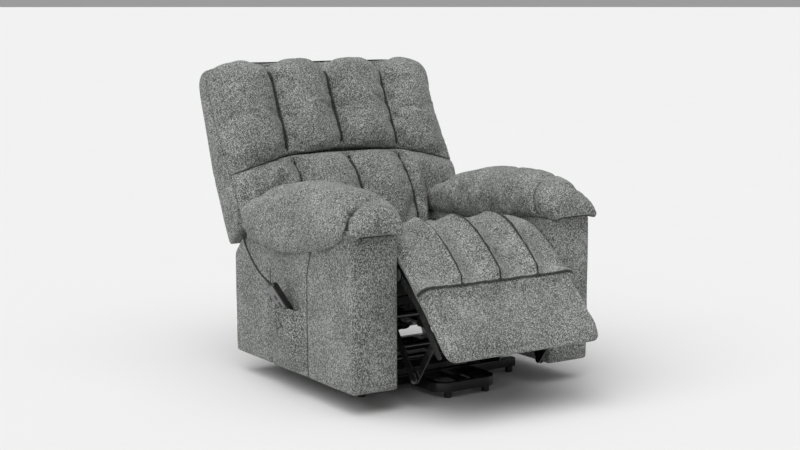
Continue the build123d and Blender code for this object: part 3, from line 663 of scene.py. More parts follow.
# --------------------------------------------------------------------------
# studio
# --------------------------------------------------------------------------
@dataclass
class Studio:
    """Pale round floor, soft lights and the camera."""

    floor_level: float = 0.0
    reach: float = 500.0
    paper: int = 226
    room: float = 0.33
    sun_spread: float = 1.25
    sun_turns: tuple[Point, ...] = ((0.06, -0.51, 0.0), (0.28, 0.05, 0.0))
    sun_powers: tuple[float, ...] = (1.97, 0.95)
    camera_at: Point = (-2.8267, -4.1971, 1.2614)
    pitch: float = math.pi / 2 - 0.14626
    heading: float = -0.58652
    lens: float = 67.76

    def build(self) -> None:
        """Make the floor, the lights and the camera."""
        self.make_camera()
        self.make_floor()
        self.make_lights()

    def make_camera(self) -> None:
        """Stand the camera and make it the scene's own."""
        deselect()
        bpy.ops.object.camera_add(location=self.camera_at, rotation=(self.pitch, 0.0, self.heading))
        camera = bpy.context.object
        camera.data.lens = self.lens
        camera.data.sensor_width = 36.0
        camera.data.clip_end = 900.0
        bpy.context.scene.camera = camera

    def make_floor(self) -> None:
        """Lay a wide round paper floor."""
        deselect()
        bpy.ops.mesh.primitive_circle_add(vertices=96, radius=self.reach, fill_type="NGON",
                                          location=(0, 0, self.floor_level))
        floor = bpy.context.object
        floor.name = "paper_floor"
        material, g, shader, place = start_material("studio_paper")
        tint = g.mix(g.noise(place, 1.5, 3.0), grey(self.paper - 1), grey(self.paper + 1))
        g.feed(shader, {"Base Color": tint, "Roughness": 1.0, "Specular IOR Level": 0.0})
        floor.data.materials.append(material)

    def make_lights(self) -> None:
        """Light from an even pale room and two broad suns, which keep the paper even."""
        world = bpy.data.worlds.new("studio_room")
        bpy.context.scene.world = world
        world.use_nodes = True
        room = world.node_tree.nodes["Background"]
        room.inputs["Color"].default_value = (1.0, 1.0, 1.0, 1.0)
        room.inputs["Strength"].default_value = self.room
        for turn, power in zip(self.sun_turns, self.sun_powers):
            deselect()
            bpy.ops.object.light_add(type="SUN", location=(0, 0, 4), rotation=turn)
            lamp = bpy.context.object
            lamp.data.energy = power
            lamp.data.angle = self.sun_spread
        bpy.context.scene.view_settings.view_transform = "Standard"
        bpy.context.scene.view_settings.look = "None"


# --------------------------------------------------------------------------
# upholstery
# --------------------------------------------------------------------------
def finish_soft(piece: bpy.types.Object, wardrobe: Wardrobe, finish: Finish = Finish.CLOTH) -> None:
    """Subdivide a soft piece once, shade it smooth and dress it.

    Args:
        piece: the shaped mesh.
        wardrobe: the finishes.
        finish: what it is dressed in.
    """
    apply_modifier(piece, "SUBSURF", levels=1, render_levels=1)
    smooth_shade(piece)
    wardrobe.dress(piece, finish)
    report(piece)


def stand_in(piece: bpy.types.Object, wardrobe: Wardrobe, node: str, body: str,
             finish: Finish = Finish.CLOTH) -> bpy.types.Object:
    """Finish a soft piece that stands for one CAD node and rides one body.

    Args:
        piece: the shaped mesh.
        wardrobe: the finishes.
        node: the CAD node that it replaces.
        body: the body that carries it.
        finish: what it is dressed in.

    Returns:
        The finished piece.
    """
    finish_soft(piece, wardrobe, finish)
    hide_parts(node)
    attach(piece, body)
    return piece


def mark_painted_seam_shade(piece: bpy.types.Object, strength: np.ndarray) -> None:
    """Store how close each vertex is to a sewn line, for the cloth to darken there as painted shade.

    Args:
        piece: the mesh, before its modifiers are applied.
        strength: 1 on a sewn line, 0 away from it, for each vertex.
    """
    sewn = piece.data.attributes.get("sewn") or piece.data.attributes.new("sewn", "FLOAT", "POINT")
    sewn.data.foreach_set("value", np.clip(strength, 0, 1).astype(np.float32))


def near(marks: np.ndarray, value: float, width: float) -> np.ndarray:
    """1 at a mark's value, easing to 0 a width away.

    Args:
        marks: the places to rate.
        value: where the rating is 1.
        width: reach to either side.

    Returns:
        The rating of each mark.
    """
    return 1.0 - smoothstep(0.0, width, np.abs(marks - value))


def height_along(points: Sequence[Pair], depth: np.ndarray) -> np.ndarray:
    """Height of a smooth line of (depth, height) points at each depth."""
    line = curve_through(points, np.linspace(0, 1, 240))
    order = np.argsort(line[:, 0])
    return np.interp(depth, line[order, 0], line[order, 1])


@dataclass
class HandsetCord:
    """Short thin lead from the arm's gland to the handset's strain relief."""

    diameter: float = 0.0055
    gland_tip: Point = (-0.472, 0.303, 0.471)
    relief_tip: Point = (-0.523, 0.048, 0.3698)
    middle: tuple[Point, ...] = (
        (-0.475, 0.287, 0.452), (-0.482, 0.259, 0.437), (-0.491, 0.224, 0.424), (-0.502, 0.186, 0.413),
        (-0.513, 0.148, 0.404), (-0.523, 0.111, 0.396), (-0.530, 0.078, 0.387),
    )

    def route(self) -> bpy.types.Object:
        """Lay the lead's spline through the air between its two ends."""
        curve = bpy.data.curves.new("handset_lead_line", "CURVE")
        curve.dimensions = "3D"
        spline = curve.splines.new("NURBS")
        points = (self.gland_tip, *self.middle, self.relief_tip)
        spline.points.add(len(points) - 1)
        for knot, place in zip(spline.points, points):
            knot.co = (*place, 1.0)
        spline.order_u = 3
        spline.use_endpoint_u = True
        spline.resolution_u = 12
        line = bpy.data.objects.new("handset_lead_line", curve)
        bpy.context.scene.collection.objects.link(line)
        return line

    def build(self, wardrobe: Wardrobe) -> bpy.types.Object:
        """Make the lead as a tube that follows its spline."""
        line = self.route()
        bpy.context.view_layer.update()
        centre = bpy.data.meshes.new_from_object(line)
        line.data.bevel_depth = self.diameter / 2
        line.data.bevel_resolution = 5
        line.data.use_fill_caps = True
        make_active(line)
        bpy.ops.object.convert(target="MESH")
        lead = bpy.context.object
        lead.name = "handset_lead"
        lead.data.name = "handset_lead"
        smooth_shade(lead)
        wardrobe.dress(lead, Finish.RUBBER)
        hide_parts("handset_cord")
        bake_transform(lead)
        return report(lead)


@dataclass
class Chaise:
    """Channelled seat cover that runs over the front roll and down the leg rest."""

    half_width: float = 0.298
    thickness: float = 0.062
    rim: float = 0.032
    seam_share: float = 0.0
    seam_at: Pair = (-0.126, 0.403)
    channels: tuple[float, ...] = (-0.15, 0.0, 0.15)
    top_line: tuple[Pair, ...] = (
        (0.640, 0.490), (0.500, 0.515), (0.320, 0.546), (0.200, 0.563), (0.120, 0.565), (0.055, 0.550),
        (0.000, 0.518), (-0.050, 0.480), (-0.100, 0.432), (-0.126, 0.403), (-0.160, 0.374), (-0.200, 0.334),
        (-0.250, 0.280), (-0.284, 0.240), (-0.296, 0.222),
    )
    counts: tuple[int, int, int] = (100, 96, 3)
    channel_draws: tuple[Point, ...] = ((0.070, 2.2, 0.019), (0.010, 1.0, 0.009))
    cross_draws: tuple[Point, ...] = ((0.050, 2.4, 0.016), (0.011, 1.0, 0.008))
    stitch_reach: float = 0.0035
    cross_reach: float = 0.004
    tangent_step: float = 0.012
    waist: float = 0.058
    waist_from: Pair = (0.38, 0.54)
    end_rounds_over: float = 18.0
    end_narrows: float = 0.075
    edge_drop: float = 0.50
    edge_thinning: float = 0.40

    def __post_init__(self) -> None:
        """Find the cross seam's share of the cover's length."""
        shares = np.linspace(0, 1, 800)
        line = curve_through(self.top_line, shares)
        nearest = np.argmin(np.hypot(*(line - self.seam_at).T))
        self.seam_share = round(float(shares[nearest]) * self.counts[1]) / self.counts[1]

    def shape(self, marks: np.ndarray) -> np.ndarray:
        """Places of the unit marks: across, along the cover and through it."""
        across, along, through = marks.T
        line = curve_through(self.top_line, along)
        ahead = curve_through(self.top_line, np.clip(along + self.tangent_step, 0, 1))
        behind = curve_through(self.top_line, np.clip(along - self.tangent_step, 0, 1))
        tangent = (ahead - behind) / np.linalg.norm(ahead - behind, axis=1, keepdims=True)
        inward = np.column_stack([-tangent[:, 1], tangent[:, 0]])
        x = spread(across, self.half_width)
        side = np.clip((self.half_width - np.abs(x)) / self.rim, 0, 1)
        tucked = 1 - self.waist * (1 - smoothstep(*self.waist_from, along))
        end = np.clip((1 - along) * self.end_rounds_over, 0, 1)
        full = np.sqrt(1 - (1 - side) ** 2) * np.sqrt(1 - 0.85 * (1 - end) ** 2)
        x = x * (1 - self.end_narrows * (1 - np.sqrt(1 - (1 - end) ** 2)))
        outer = self.thickness * self.edge_drop * (1 - full)
        inner = self.thickness * (1 - self.edge_thinning * (1 - full))
        shift = inner + (outer - inner) * through
        place = line + inward * shift[:, None]
        return np.column_stack([x * tucked, place[:, 0] + FRONT, place[:, 1]])

    def relief(self, marks: np.ndarray) -> np.ndarray:
        """How far each mark stands off the sewing line, with its channels."""
        across, along, _ = marks.T
        gap = gap_to(spread(across, self.half_width), self.channels)
        upper = smoothstep(0.0, 0.03, self.seam_share - along)
        fade = smoothstep(0.34, 0.52, along)
        draw = sum(pinch(gap, *rule) for rule in self.channel_draws)
        cross = np.abs(along - self.seam_share)
        tuck = sum(pinch(cross, *rule) for rule in self.cross_draws)
        tuck = tuck * (0.75 + 0.25 * smoothstep(0.0, 0.08, gap))
        lower = (1 - upper) * 0.006
        return 0.003 + lower - draw * upper * fade - tuck

    def build(self, wardrobe: Wardrobe) -> bpy.types.Object:
        """Make, inflate and dress the cover."""
        cover = lattice_shell("chaise_cover", self.counts)
        marks = move_by_rule(cover, self.shape)
        soften(cover, 1)
        across, along, through = marks.T
        shown = through > SHOWN
        rows = coordinates(cover)
        folds = ripple(rows * (1.0, 0.6, 0.6), 15.0, 3.0) * 0.0020
        folds = folds + ripple(rows * (1.6, 0.8, 0.8), 42.0, 6.0) * 0.0007
        set_coordinates(cover, rows + normals(cover) * ((self.relief(marks) + folds) * shown)[:, None])
        stitched = gap_to(spread(across, self.half_width), self.channels) < self.stitch_reach
        upper = along < self.seam_share
        crossed = np.abs(along - self.seam_share) < self.cross_reach
        # The channel stitches and the cross seam get painted shade in the cloth.
        line = stitched * smoothstep(0.34, 0.46, along) * upper
        mark_painted_seam_shade(cover, np.maximum(line, crossed) * shown)
        held = np.where((stitched & upper & (along > 0.46)) | crossed, 1.0, 0.0)
        held[~shown] = 1.0
        inflate(cover, held, pressure=3.0, cap=0.010, slack=0.030)
        finish_soft(cover, wardrobe)
        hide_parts("legrest_pad", "legrest_board")
        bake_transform(cover)
        return cover


@dataclass
class SeatCore:
    """Foam block under the seat cover, in dark lining."""

    half_width: float = 0.284
    front: float = 0.060
    rear: float = 0.590
    bottom: float = 0.353
    top: float = 0.452
    counts: tuple[int, int, int] = (10, 10, 3)

    def shape(self, marks: np.ndarray) -> np.ndarray:
        """Places of the unit marks: a block whose sides pull in a little."""
        across, along, up = marks.T
        waist = 1 - 0.012 * np.sin(math.pi * up) * np.sin(math.pi * along)
        x = spread(across, self.half_width) * waist
        y = self.front + along * (self.rear - self.front) + FRONT
        return np.column_stack([x, y, self.bottom + up * (self.top - self.bottom)])

    def build(self, wardrobe: Wardrobe) -> bpy.types.Object:
        """Make and dress the block."""
        core = lattice_shell("seat_core", self.counts)
        move_by_rule(core, self.shape)
        apply_modifier(core, "BEVEL", width=0.012, segments=3, limit_method="ANGLE")
        return stand_in(core, wardrobe, "seat_cushion", "chassis", Finish.LINING)


@dataclass
class Backrest:
    """Padded back: two sewn front cushions in front of a wrapped frame."""

    half_width: float = 0.464
    seams: tuple[float, ...] = (-0.235, 0.0, 0.235)
    band_line: tuple[Pair, ...] = (
        (0.720, 0.497), (0.733, 0.553), (0.752, 0.600), (0.792, 0.674), (0.845, 0.760), (0.905, 0.859),
        (0.943, 0.944), (0.968, 1.010), (0.984, 1.038), (1.002, 1.049),
    )
    crown_line: tuple[Pair, ...] = (
        (0.712, 0.497), (0.720, 0.560), (0.734, 0.640), (0.764, 0.745), (0.800, 0.830), (0.838, 0.905),
        (0.872, 0.975), (0.898, 1.030), (0.936, 1.058), (0.990, 1.056),
    )
    rear_line: tuple[Pair, ...] = (
        (0.806, 0.431), (0.842, 0.497), (0.876, 0.565), (0.925, 0.676), (0.967, 0.803), (1.009, 0.923),
        (1.026, 0.985), (1.028, 1.020), (1.020, 1.042), (1.006, 1.052),
    )
    lumbar_half: float = 0.281
    lumbar_seams: tuple[float, ...] = (-0.222, 0.006, 0.224)
    lumbar_front: tuple[Pair, ...] = (
        (0.690, 0.372), (0.640, 0.392), (0.622, 0.440), (0.626, 0.510), (0.650, 0.580), (0.688, 0.650),
        (0.734, 0.712), (0.768, 0.744),
    )
    lumbar_rear: tuple[Pair, ...] = (
        (0.712, 0.380), (0.712, 0.430), (0.712, 0.470), (0.716, 0.520), (0.730, 0.570), (0.756, 0.640),
        (0.782, 0.700), (0.800, 0.732),
    )
    draw: float = 0.030
    corner: float = 0.050
    corner_from: float = 0.250
    mid_height: float = 0.745
    side_height: float = 0.676
    seam_reach: float = 0.105
    stitch_draw: Point = (0.012, 1.0, 0.010)
    corner_start: float = 0.84
    corner_sink: float = 0.022
    fold_scale: float = 14.0
    fold_depth: float = 0.0055

    def seam_share(self, line: Sequence[Pair], x: np.ndarray) -> np.ndarray:
        """Share of a line's length where the arched cross seam meets it at x."""
        height = self.mid_height - (self.mid_height - self.side_height) * (np.abs(x) / self.half_width) ** 2.2
        shares = np.linspace(0, 1, 400)
        levels = np.maximum.accumulate(curve_through(line, shares)[:, 1])
        return np.interp(height, levels, shares)

    def rounded(self, places: np.ndarray, up: np.ndarray) -> np.ndarray:
        """Round the back's upper corners by drawing them in and down.

        Args:
            places: rows of x, depth and height.
            up: each row's share of the way to the top.
        """
        climb = np.clip((up - self.corner_start) / CORNER_SPAN, 0, 1)
        pull = self.corner * (1 - np.sqrt(1 - 0.98 * climb ** 2))
        out = np.clip((np.abs(places[:, 0]) - self.corner_from) / (self.half_width - self.corner_from), 0, 1)
        shaped = places.copy()
        shaped[:, 0] -= np.sign(places[:, 0]) * pull * out ** 1.5
        shaped[:, 2] -= self.corner_sink * out ** 3 * climb
        return shaped

    def bulge(self, x: np.ndarray, half: float, seams: Sequence[float], sharp: float) -> np.ndarray:
        """Share of the full crown at x, with a valley at each sewn seam.

        Args:
            x: places across.
            half: the cushion's half width.
            seams: x of each seam.
            sharp: how deep its valleys are.

        Returns:
            The share at each place.
        """
        overall = np.clip(1 - (np.abs(x) / half) ** 5, 0, 1) ** 0.6
        gap = gap_to(x, (*seams, FAR_SEAM))
        return overall * (1 - pinch(gap, self.seam_reach, 2.6, sharp))

    def upper_shape(self, marks: np.ndarray) -> np.ndarray:
        """Places of the upper cushion's marks: across, up and through."""
        across, up, through = marks.T
        x = spread(across, self.half_width)
        low = self.seam_share(self.crown_line, x)
        share = low + (1 - low) * up
        band = curve_through(self.band_line, self.seam_share(self.band_line, x) * (1 - up) + up)
        crown = curve_through(self.crown_line, share)
        full = self.bulge(x, self.half_width, self.seams, 0.10)
        full = full * (0.62 + 0.38 * np.clip(up / 0.16, 0, 1) ** 0.45)
        front = band + (crown - band) * full[:, None]
        rear = band + np.array((0.006, -0.004))
        flat = rear + (front - rear) * through[:, None]
        dome = pinch(gap_to(x, self.seams), 0.117, 1.5, 0.012) * smoothstep(0.70, 0.95, up) * through
        places = np.column_stack([x, flat[:, 0] + FRONT, flat[:, 1] - dome])
        return self.rounded(places, share)

    def lumbar_shape(self, marks: np.ndarray) -> np.ndarray:
        """Places of the lower cushion's marks: across, up and through.

        Between the arms it reaches forward and down to the seat; beyond them it
        is a flat wing that stays behind the arm pillows.
        """
        across, up, through = marks.T
        x = spread(across, self.half_width) * 0.996
        wing = smoothstep(self.lumbar_half - 0.026, self.lumbar_half + 0.012, np.abs(x))[:, None]
        full = self.bulge(x, self.half_width, (), 0.0)
        lines = (self.lumbar_front, self.lumbar_rear, self.crown_line, self.band_line)
        rows = [curve_through(line, up * self.seam_share(line, x)) for line in lines]
        front, rear, wing_front, wing_rear = rows
        wing_rear = wing_rear + np.array((0.004, -0.002))
        front = front + (wing_front - front) * wing
        rear = rear + (wing_rear - rear) * wing
        shut = 1 - 0.38 * np.clip((up - 0.80) / 0.20, 0, 1) ** 2.2
        share = (through * (0.25 + 0.75 * full) * shut)[:, None]
        place = rear + (front - rear) * share
        return np.column_stack([x, place[:, 0] + FRONT, place[:, 1]])

    def frame_shape(self, marks: np.ndarray) -> np.ndarray:
        """Places of the wrapped frame's marks: across, up and through."""
        across, up, through = marks.T
        rear = curve_through(self.rear_line, up)
        front = curve_through(self.band_line, up) + np.array((0.010, -0.003))
        place = rear + (front - rear) * through[:, None]
        puff = 0.010 * np.sin(math.pi * np.clip(across, 0, 1)) ** 0.4 * (1 - through) * np.sin(math.pi * up)
        x = spread(across, self.half_width + 0.004)
        return self.rounded(np.column_stack([x, place[:, 0] + puff + FRONT, place[:, 1]]), up)

    def wrinkled(self, piece: bpy.types.Object, held: np.ndarray, seams: Sequence[float],
                 seed: float) -> None:
        """Add slow diagonal folds that run out from the sewn seams.

        Args:
            piece: the cushion.
            held: 1 where a vertex is sewn down.
            seams: x of each seam.
            seed: offset that picks the folds.
        """
        rows = coordinates(piece)
        gap = gap_to(rows[:, 0], seams)
        skew = rows.copy()
        skew[:, 2] += gap * 0.8
        folds = ripple(skew * (0.45, 0.3, 1.5), self.fold_scale, seed)
        tight = (1 - smoothstep(0.0, 0.13, gap)) * 0.7 + 0.3
        tight = tight * (1 + 0.8 * smoothstep(0.90, 1.03, rows[:, 2]))
        depth = folds * tight * self.fold_depth * (held < 0.5)
        set_coordinates(piece, rows + normals(piece) * depth[:, None])

    def build_cushion(self, name: str, counts: tuple[int, int, int], rule: Callable, seams: Sequence[float],
                      half: float, node: str, wardrobe: Wardrobe) -> bpy.types.Object:
        """Make one front cushion, sewn along its seams, and inflate it.

        Args:
            name: the piece's name.
            counts: lattice divisions.
            rule: the cushion's shape.
            seams: x of each sewn seam.
            half: the cushion's half width.
            node: the CAD node that the cushion stands for.
            wardrobe: the finishes.
        """
        cushion = lattice_shell(name, counts)
        marks = move_by_rule(cushion, rule)
        soften(cushion, 2)
        across, up, through = marks.T
        gap = gap_to(spread(across, half), seams)
        stitched = gap < 2 * half / counts[0] * 0.51
        shown = through > SHOWN
        held = np.where(stitched & shown, 1.0, 0.0)
        held[through < 0.6] = 1.0
        held[np.min([up, 1 - up, across, 1 - across], axis=0) < RIM] = 1.0
        draw = pinch(gap, self.seam_reach, 2.2, self.draw) + pinch(gap, *self.stitch_draw)
        # The stitched seams get painted shade in the cloth.
        mark_painted_seam_shade(cushion, stitched * shown * 1.0)
        rows = coordinates(cushion)
        set_coordinates(cushion, rows - normals(cushion) * (draw * shown)[:, None])
        self.wrinkled(cushion, held, seams, len(name))
        inflate(cushion, held, pressure=4.0, cap=0.022, slack=0.05)
        return stand_in(cushion, wardrobe, node, "backrest")

    def build_frame(self, wardrobe: Wardrobe) -> bpy.types.Object:
        """Make the wrapped frame with its side bands and rear panel."""
        wrap = lattice_shell("back_wrap", (60, 60, 8))
        marks = move_by_rule(wrap, self.frame_shape)
        soften(wrap, 2)
        rows = coordinates(wrap)
        side = np.minimum(marks[:, 0], 1 - marks[:, 0]) < ON_SIDE
        swell = side * 0.006 * np.sin(math.pi * marks[:, 1]) ** 0.5 * np.sin(math.pi * marks[:, 2]) ** 0.5
        band = (marks[:, 2] < ON_SIDE) * near(marks[:, 1], 0.36, 0.02) * -0.004
        slow = ripple(rows, 9.0, 5.0) * 0.0022
        set_coordinates(wrap, rows + normals(wrap) * (swell + band + slow)[:, None])
        return stand_in(wrap, wardrobe, "back_cover", "backrest")

    def build(self, wardrobe: Wardrobe) -> None:
        """Make the back's three soft pieces."""
        self.build_frame(wardrobe)
        self.build_cushion("back_cushion_cloth", (100, 64, 3), self.upper_shape, self.seams,
                           self.half_width, "back_cushion", wardrobe)
        self.build_cushion("lumbar_cloth", (100, 44, 3), self.lumbar_shape, self.lumbar_seams,
                           self.half_width, "lumbar_cushion", wardrobe)


class Side(Enum):
    """Which arm, as the sign of its x."""

    HANDSET = -1
    PLAIN = 1


@dataclass
class ArmPillow:
    """Padded arm cover, draped over the arm's top and outer side."""

    side: Side
    node: str
    inner: float = 0.296
    outer: float = 0.489
    sheet_gap: float = 0.003
    panel_x: float = 0.465
    panel_top: float = 0.560
    tip: float = -0.030
    rear: float = 0.702
    top_line: tuple[Pair, ...] = (
        (-0.034, 0.600), (-0.020, 0.622), (0.020, 0.654), (0.110, 0.682), (0.250, 0.690), (0.385, 0.684),
        (0.550, 0.652), (0.655, 0.618), (0.702, 0.588),
    )
    inner_drop: float = 0.052
    hem_line: tuple[Pair, ...] = (
        (-0.034, 0.572), (-0.010, 0.570), (0.013, 0.567), (0.045, 0.553), (0.090, 0.530), (0.150, 0.505),
        (0.300, 0.474), (0.420, 0.461), (0.560, 0.465), (0.650, 0.486), (0.702, 0.540),
    )
    counts: tuple[int, int, int] = (40, 76, 3)
    front_seam: Point = (0.065, 0.030, 0.013)
    rear_seam: Point = (0.925, 0.020, 0.007)
    rear_pleat: Point = (0.885, 0.014, 0.005)
    side_seam: Point = (0.70, 0.020, 0.004)
    pleat: Point = (0.11, 0.03, 0.010)

    def section(self, share: float, top: float, hem: float, fold: float) -> tuple[list[Pair], list[Pair]]:
        """Outer and inner cross-sections at one station, from inner edge to hem.

        Args:
            share: how full the station is, from 0 at the tips to 1.
            top: the crown's height.
            hem: the flap's lower edge.
            fold: how far the inner edge hangs below the arm's top.
        """
        low = self.panel_top + self.sheet_gap
        rise = top - low
        out = self.panel_x + 0.010 + (self.outer - self.panel_x - 0.010) * share
        lap = self.inner - 0.012 * share
        outside = [
            (self.inner + 0.002, low - fold), (lap, low - fold * 0.6 + rise * 0.10),
            (lap - 0.001, low + rise * 0.50), (self.inner + 0.026, low + rise * 0.88),
            (self.inner + 0.085, top), (out - 0.060, top - rise * 0.06),
            (out - 0.016, low + rise * 0.62), (out, low + rise * 0.12), (out + 0.001, (low + hem) / 2),
            (out - 0.004, hem + 0.010), (self.panel_x + self.sheet_gap + 0.004, hem),
        ]
        gap = self.sheet_gap
        inside = [
            (self.inner + 0.0035, low - fold * 0.9), (self.inner + 0.004, low - 0.004),
            (self.inner + 0.05, low), (self.panel_x - 0.012, low), (self.panel_x + gap, low - 0.012),
            (self.panel_x + gap, (low + hem) / 2), (self.panel_x + gap, hem + 0.003),
        ]
        return outside, inside

    def shape(self, marks: np.ndarray) -> np.ndarray:
        """Places of the unit marks: across the arm, along it and through."""
        places = np.zeros_like(marks)
        for along in np.unique(marks[:, 1]):
            rows = np.isclose(marks[:, 1], along)
            depth = self.tip + (self.rear - self.tip) * along
            top = float(height_along(self.top_line, np.array([depth]))[0])
            hem = float(height_along(self.hem_line, np.array([depth]))[0])
            share = float(smoothstep(-0.02, 0.14, along) * smoothstep(-0.02, 0.08, 1 - along))
            fold = float(self.inner_drop * smoothstep(0.0, 0.40, depth))
            outside, inside = self.section(share, top, hem, fold)
            across, through = marks[rows, 0], marks[rows, 2]
            shell = curve_through(outside, across)
            lining = curve_through(inside, across)
            place = lining + (shell - lining) * through[:, None]
            places[rows] = np.column_stack([place[:, 0], np.full(len(place), depth + FRONT), place[:, 1]])
        places[:, 0] *= self.side.value
        return places

    def creases(self, marks: np.ndarray) -> np.ndarray:
        """How deep each mark is drawn in by seams and pleats, in metres.

        Each seam or pleat is held as its place, its reach and its depth.
        """
        across, along = marks[:, 0], marks[:, 1]
        at, reach, depth = self.front_seam
        front = near(along, at + 0.05 * (1 - across), reach) * smoothstep(0.30, 0.75, across) * depth
        at, reach, depth = self.rear_seam
        rear = near(along, at, reach) * depth
        pleat = 0.0
        if self.side is Side.PLAIN:
            at, reach, depth = self.pleat
            pleat = near(along, at + 0.20 * across, reach) * (1 - smoothstep(0.35, 0.6, across)) * depth
            at, reach, depth = self.rear_pleat
            rear = rear + near(along, at, reach) * (1 - smoothstep(0.3, 0.5, across)) * depth
        at, reach, depth = self.side_seam
        return front + rear + pleat + near(across, at, reach) * depth

    def build(self, wardrobe: Wardrobe) -> bpy.types.Object:
        """Make, inflate and dress the pillow."""
        name = f"arm_pillow_cloth_{'left' if self.side is Side.HANDSET else 'right'}"
        pillow = lattice_shell(name, self.counts)
        marks = move_by_rule(pillow, self.shape)
        if self.side is Side.HANDSET:
            face_outward(pillow)
        soften(pillow, 3)
        shown = marks[:, 2] > SHOWN
        rows = coordinates(pillow)
        crease = self.creases(marks) * shown
        folds = ripple(rows * (0.6, 0.7, 1.6), 15.0, 2.0 + self.side.value) * 0.0034 * shown
        set_coordinates(pillow, rows + normals(pillow) * (folds - crease)[:, None])
        # The deepest seams and pleats get painted shade in the cloth, rising with crease depth.
        mark_painted_seam_shade(pillow, np.clip((crease - 0.0055) / 0.005, 0, 1) * 0.7)
        held = np.where(shown, np.clip(crease / 0.006, 0, 1), 1.0)
        held[np.minimum(marks[:, 0], 1 - marks[:, 0]) < RIM] = 1.0
        inflate(pillow, held, pressure=3.5, cap=0.010, slack=0.05)
        return stand_in(pillow, wardrobe, self.node, "chassis")


@dataclass
class ArmBox:
    """Upholstered arm panel box with sewn seams down its outer side."""

    side: Side
    node: str
    inner: float = 0.3012
    outer: float = 0.4645
    bottom: float = 0.069
    top: float = 0.559
    depth: float = 0.765
    rear_line: tuple[Pair, ...] = ((0.0, 0.765), (0.600, 0.765), (0.702, 0.765), (0.858, 0.690), (1.0, 0.655))
    seams: tuple[float, ...] = (0.280, 0.520)
    counts: tuple[int, int, int] = (16, 80, 46)
    front_padding: float = 0.010
    side_padding: float = 0.0035
    seam_width: float = 0.012
    seam_depth: float = 0.0055
    stitch_reach: float = 0.005

    def shape(self, marks: np.ndarray) -> np.ndarray:
        """Places of the unit marks: across, back along the arm and up."""
        across, along, up = marks.T
        x = self.inner + across * (self.outer - self.inner)
        rear = np.interp(up, [p[0] for p in self.rear_line], [p[1] for p in self.rear_line])
        z = self.bottom + up * (self.top - self.bottom)
        return np.column_stack([x * self.side.value, along * rear + FRONT, z])

    def relief(self, marks: np.ndarray) -> np.ndarray:
        """Padding over each panel, less the draw of its seams."""
        across, along, up = marks.T
        depth = along * self.depth
        dome = np.sin(math.pi * across) * np.sin(math.pi * np.clip(up * 1.02, 0, 1))
        front = (along < ON_SIDE) * self.front_padding * dome ** 0.45
        outer = (across > 1 - ON_SIDE) * self.side_padding * np.sin(math.pi * up) ** 0.4
        full = near(depth, self.seams[0], self.seam_width)
        part = near(depth, self.seams[1], self.seam_width) * smoothstep(0.30, 0.45, 1 - up)
        draw = (across > 1 - ON_SIDE) * (full + part * (self.side is Side.HANDSET)) * self.seam_depth
        return front + outer - draw

    def build(self, wardrobe: Wardrobe) -> bpy.types.Object:
        """Make and dress the box."""
        box = lattice_shell(f"arm_cloth_{'left' if self.side is Side.HANDSET else 'right'}", self.counts)
        marks = move_by_rule(box, self.shape)
        if self.side is Side.HANDSET:
            face_outward(box)
        soften(box, 1, 0.6)
        rows = coordinates(box)
        slow = ripple(rows, 8.0, 7.0 * self.side.value) * 0.0014
        set_coordinates(box, rows + normals(box) * (self.relief(marks) + slow)[:, None])
        depth, side = marks[:, 1] * self.depth, marks[:, 0] > 1 - ON_SIDE
        # The seams down the outer side get painted shade in the cloth.
        part = (np.abs(depth - self.seams[1]) < self.stitch_reach) * smoothstep(0.30, 0.36, 1 - marks[:, 2])
        part = part * (self.side is Side.HANDSET)
        mark_painted_seam_shade(box, np.maximum(np.abs(depth - self.seams[0]) < self.stitch_reach, part) * side * 0.8)
        return stand_in(box, wardrobe, self.node, "chassis")


@dataclass
class RearSkirt:
    """Cloth panel across the rear between the arms."""

    margin: float = 0.001
    counts: tuple[int, int, int] = (40, 2, 26)

    def build(self, wardrobe: Wardrobe) -> bpy.types.Object:
        """Make and dress the panel from its frame node's box."""
        low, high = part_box("rear_skirt")

        def shape(marks: np.ndarray) -> np.ndarray:
            """Places of the unit marks, with the rear face filled out."""
            across, along, up = marks.T
            swell = 0.006 * np.sin(math.pi * across) ** 0.35 * np.sin(math.pi * up) ** 0.35 * (along > 0.9)
            swell = swell - near(across, 0.5, 0.03) * 0.004 * (along > 0.9)
            x = low.x + self.margin + across * (high.x - low.x - 2 * self.margin)
            y = low.y + along * (high.y - low.y) + swell
            return np.column_stack([x, y, low.z + up * (high.z - low.z)])

        skirt = lattice_shell("rear_skirt_cloth", self.counts)
        move_by_rule(skirt, shape)
        rows = coordinates(skirt)
        rear = rows[:, 1] > high.y - 0.004
        sag = ripple(rows * (1.0, 1.0, 0.4), 12.0, 9.0) * 0.0018 * rear
        rows[:, 1] += sag
        set_coordinates(skirt, rows)
        return stand_in(skirt, wardrobe, "rear_skirt", "chassis")


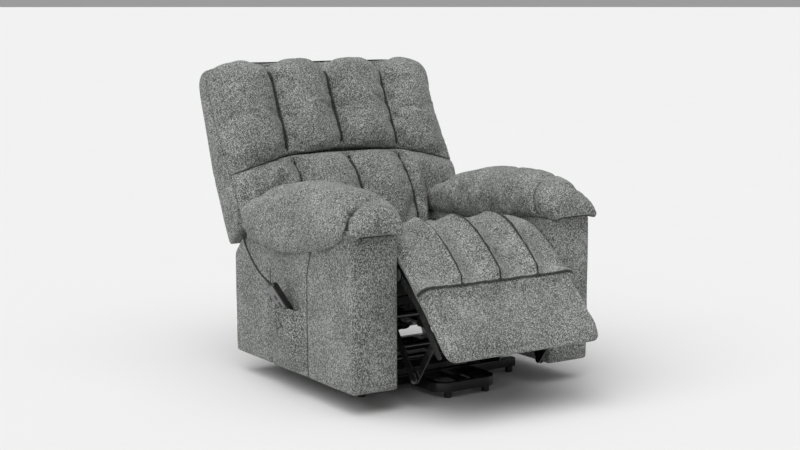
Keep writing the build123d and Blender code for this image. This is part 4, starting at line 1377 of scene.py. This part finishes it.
@dataclass
class SidePocket:
    """Gathered cloth pocket on the handset arm, with an elastic mouth."""

    wall: float = 0.0022
    folds: tuple[Pair, ...] = ((0.30, 0.006), (0.38, 0.009), (0.47, 0.010), (0.55, 0.006), (0.68, 0.004))
    counts: tuple[int, int, int] = (100, 1, 40)
    gathers: int = 15
    gather_depth: float = 0.0030
    mouth_waves: int = 7
    mouth_depth: float = 0.003
    bag: tuple[Pair, ...] = (
        (0.0, 0.000), (0.04, 0.008), (0.10, 0.014), (0.20, 0.040), (0.36, 0.046), (0.52, 0.044),
        (0.66, 0.020), (0.80, 0.015), (0.95, 0.010), (1.0, 0.000),
    )

    def build(self, wardrobe: Wardrobe) -> bpy.types.Object:
        """Make and dress the pocket from its frame node's box."""
        low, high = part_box("side_pocket")
        stations = [p[0] for p in self.bag]
        reach = [p[1] for p in self.bag]

        def shape(marks: np.ndarray) -> np.ndarray:
            """Places of the unit marks: back along the arm, through and up."""
            along, through, up = marks.T
            full = np.interp(along, stations, reach)
            sag = 0.42 + 0.58 * smoothstep(0.0, 0.75, up)
            fold = np.sin(along * 2 * math.pi * self.gathers + 1.2 * np.sin(along * 21)) * self.gather_depth
            for place, deep in self.folds:
                fold = fold - deep * near(along, place + 0.012 * np.sin(up * 9), 0.022)
            gather = smoothstep(0.25, 0.95, up) * (1 - 0.45 * near(up, 0.93, 0.05))
            edge = smoothstep(0.0, 0.05, along) * smoothstep(0.0, 0.05, 1 - along) * smoothstep(0.0, 0.10, up)
            out = (full * sag + fold * gather) * edge + 0.0008
            out = out - self.mouth_depth * near(up, 0.90, 0.035) * edge * (full > 0.02)
            x = high.x - out
            y = low.y + along * (high.y - low.y)
            wave = self.mouth_depth * np.sin(along * 2 * math.pi * self.mouth_waves)
            wave = wave * smoothstep(0.9, 1.0, up) * edge
            z = low.z + up * (high.z - low.z) + wave
            return np.column_stack([x + through * self.wall, y, z])

        pocket = lattice_shell("handset_pocket", self.counts)
        marks = move_by_rule(pocket, shape)
        # Painted shade in the deep gathers, in the crease under the elastic mouth and along the rear edge.
        deep = np.max([near(marks[:, 0], place, 0.016) * size * 90 for place, size in self.folds], axis=0)
        hem = near(marks[:, 2], 0.90, 0.02) * 0.55 + near(marks[:, 0], 1.0, 0.012) * 0.6
        mark_painted_seam_shade(pocket, np.maximum(deep * smoothstep(0.25, 0.8, marks[:, 2]) * 0.8, hem))
        face_outward(pocket)
        return stand_in(pocket, wardrobe, "side_pocket", "chassis")


def main() -> None:
    """Build the studio and the chair's dressed pieces in order."""
    logging.basicConfig(level=logging.INFO, format="%(name)s: %(message)s")
    Studio().build()
    wardrobe = Wardrobe()
    HandsetCord().build(wardrobe)
    wardrobe.dress_frame()
    Chaise().build(wardrobe)
    SeatCore().build(wardrobe)
    Backrest().build(wardrobe)
    for side, hand in ((Side.HANDSET, "left"), (Side.PLAIN, "right")):
        ArmBox(side, f"arm_box_{hand}").build(wardrobe)
        ArmPillow(side, f"arm_pillow_{hand}").build(wardrobe)
    RearSkirt().build(wardrobe)
    SidePocket().build(wardrobe)


if __name__ == "__main__":
    main()
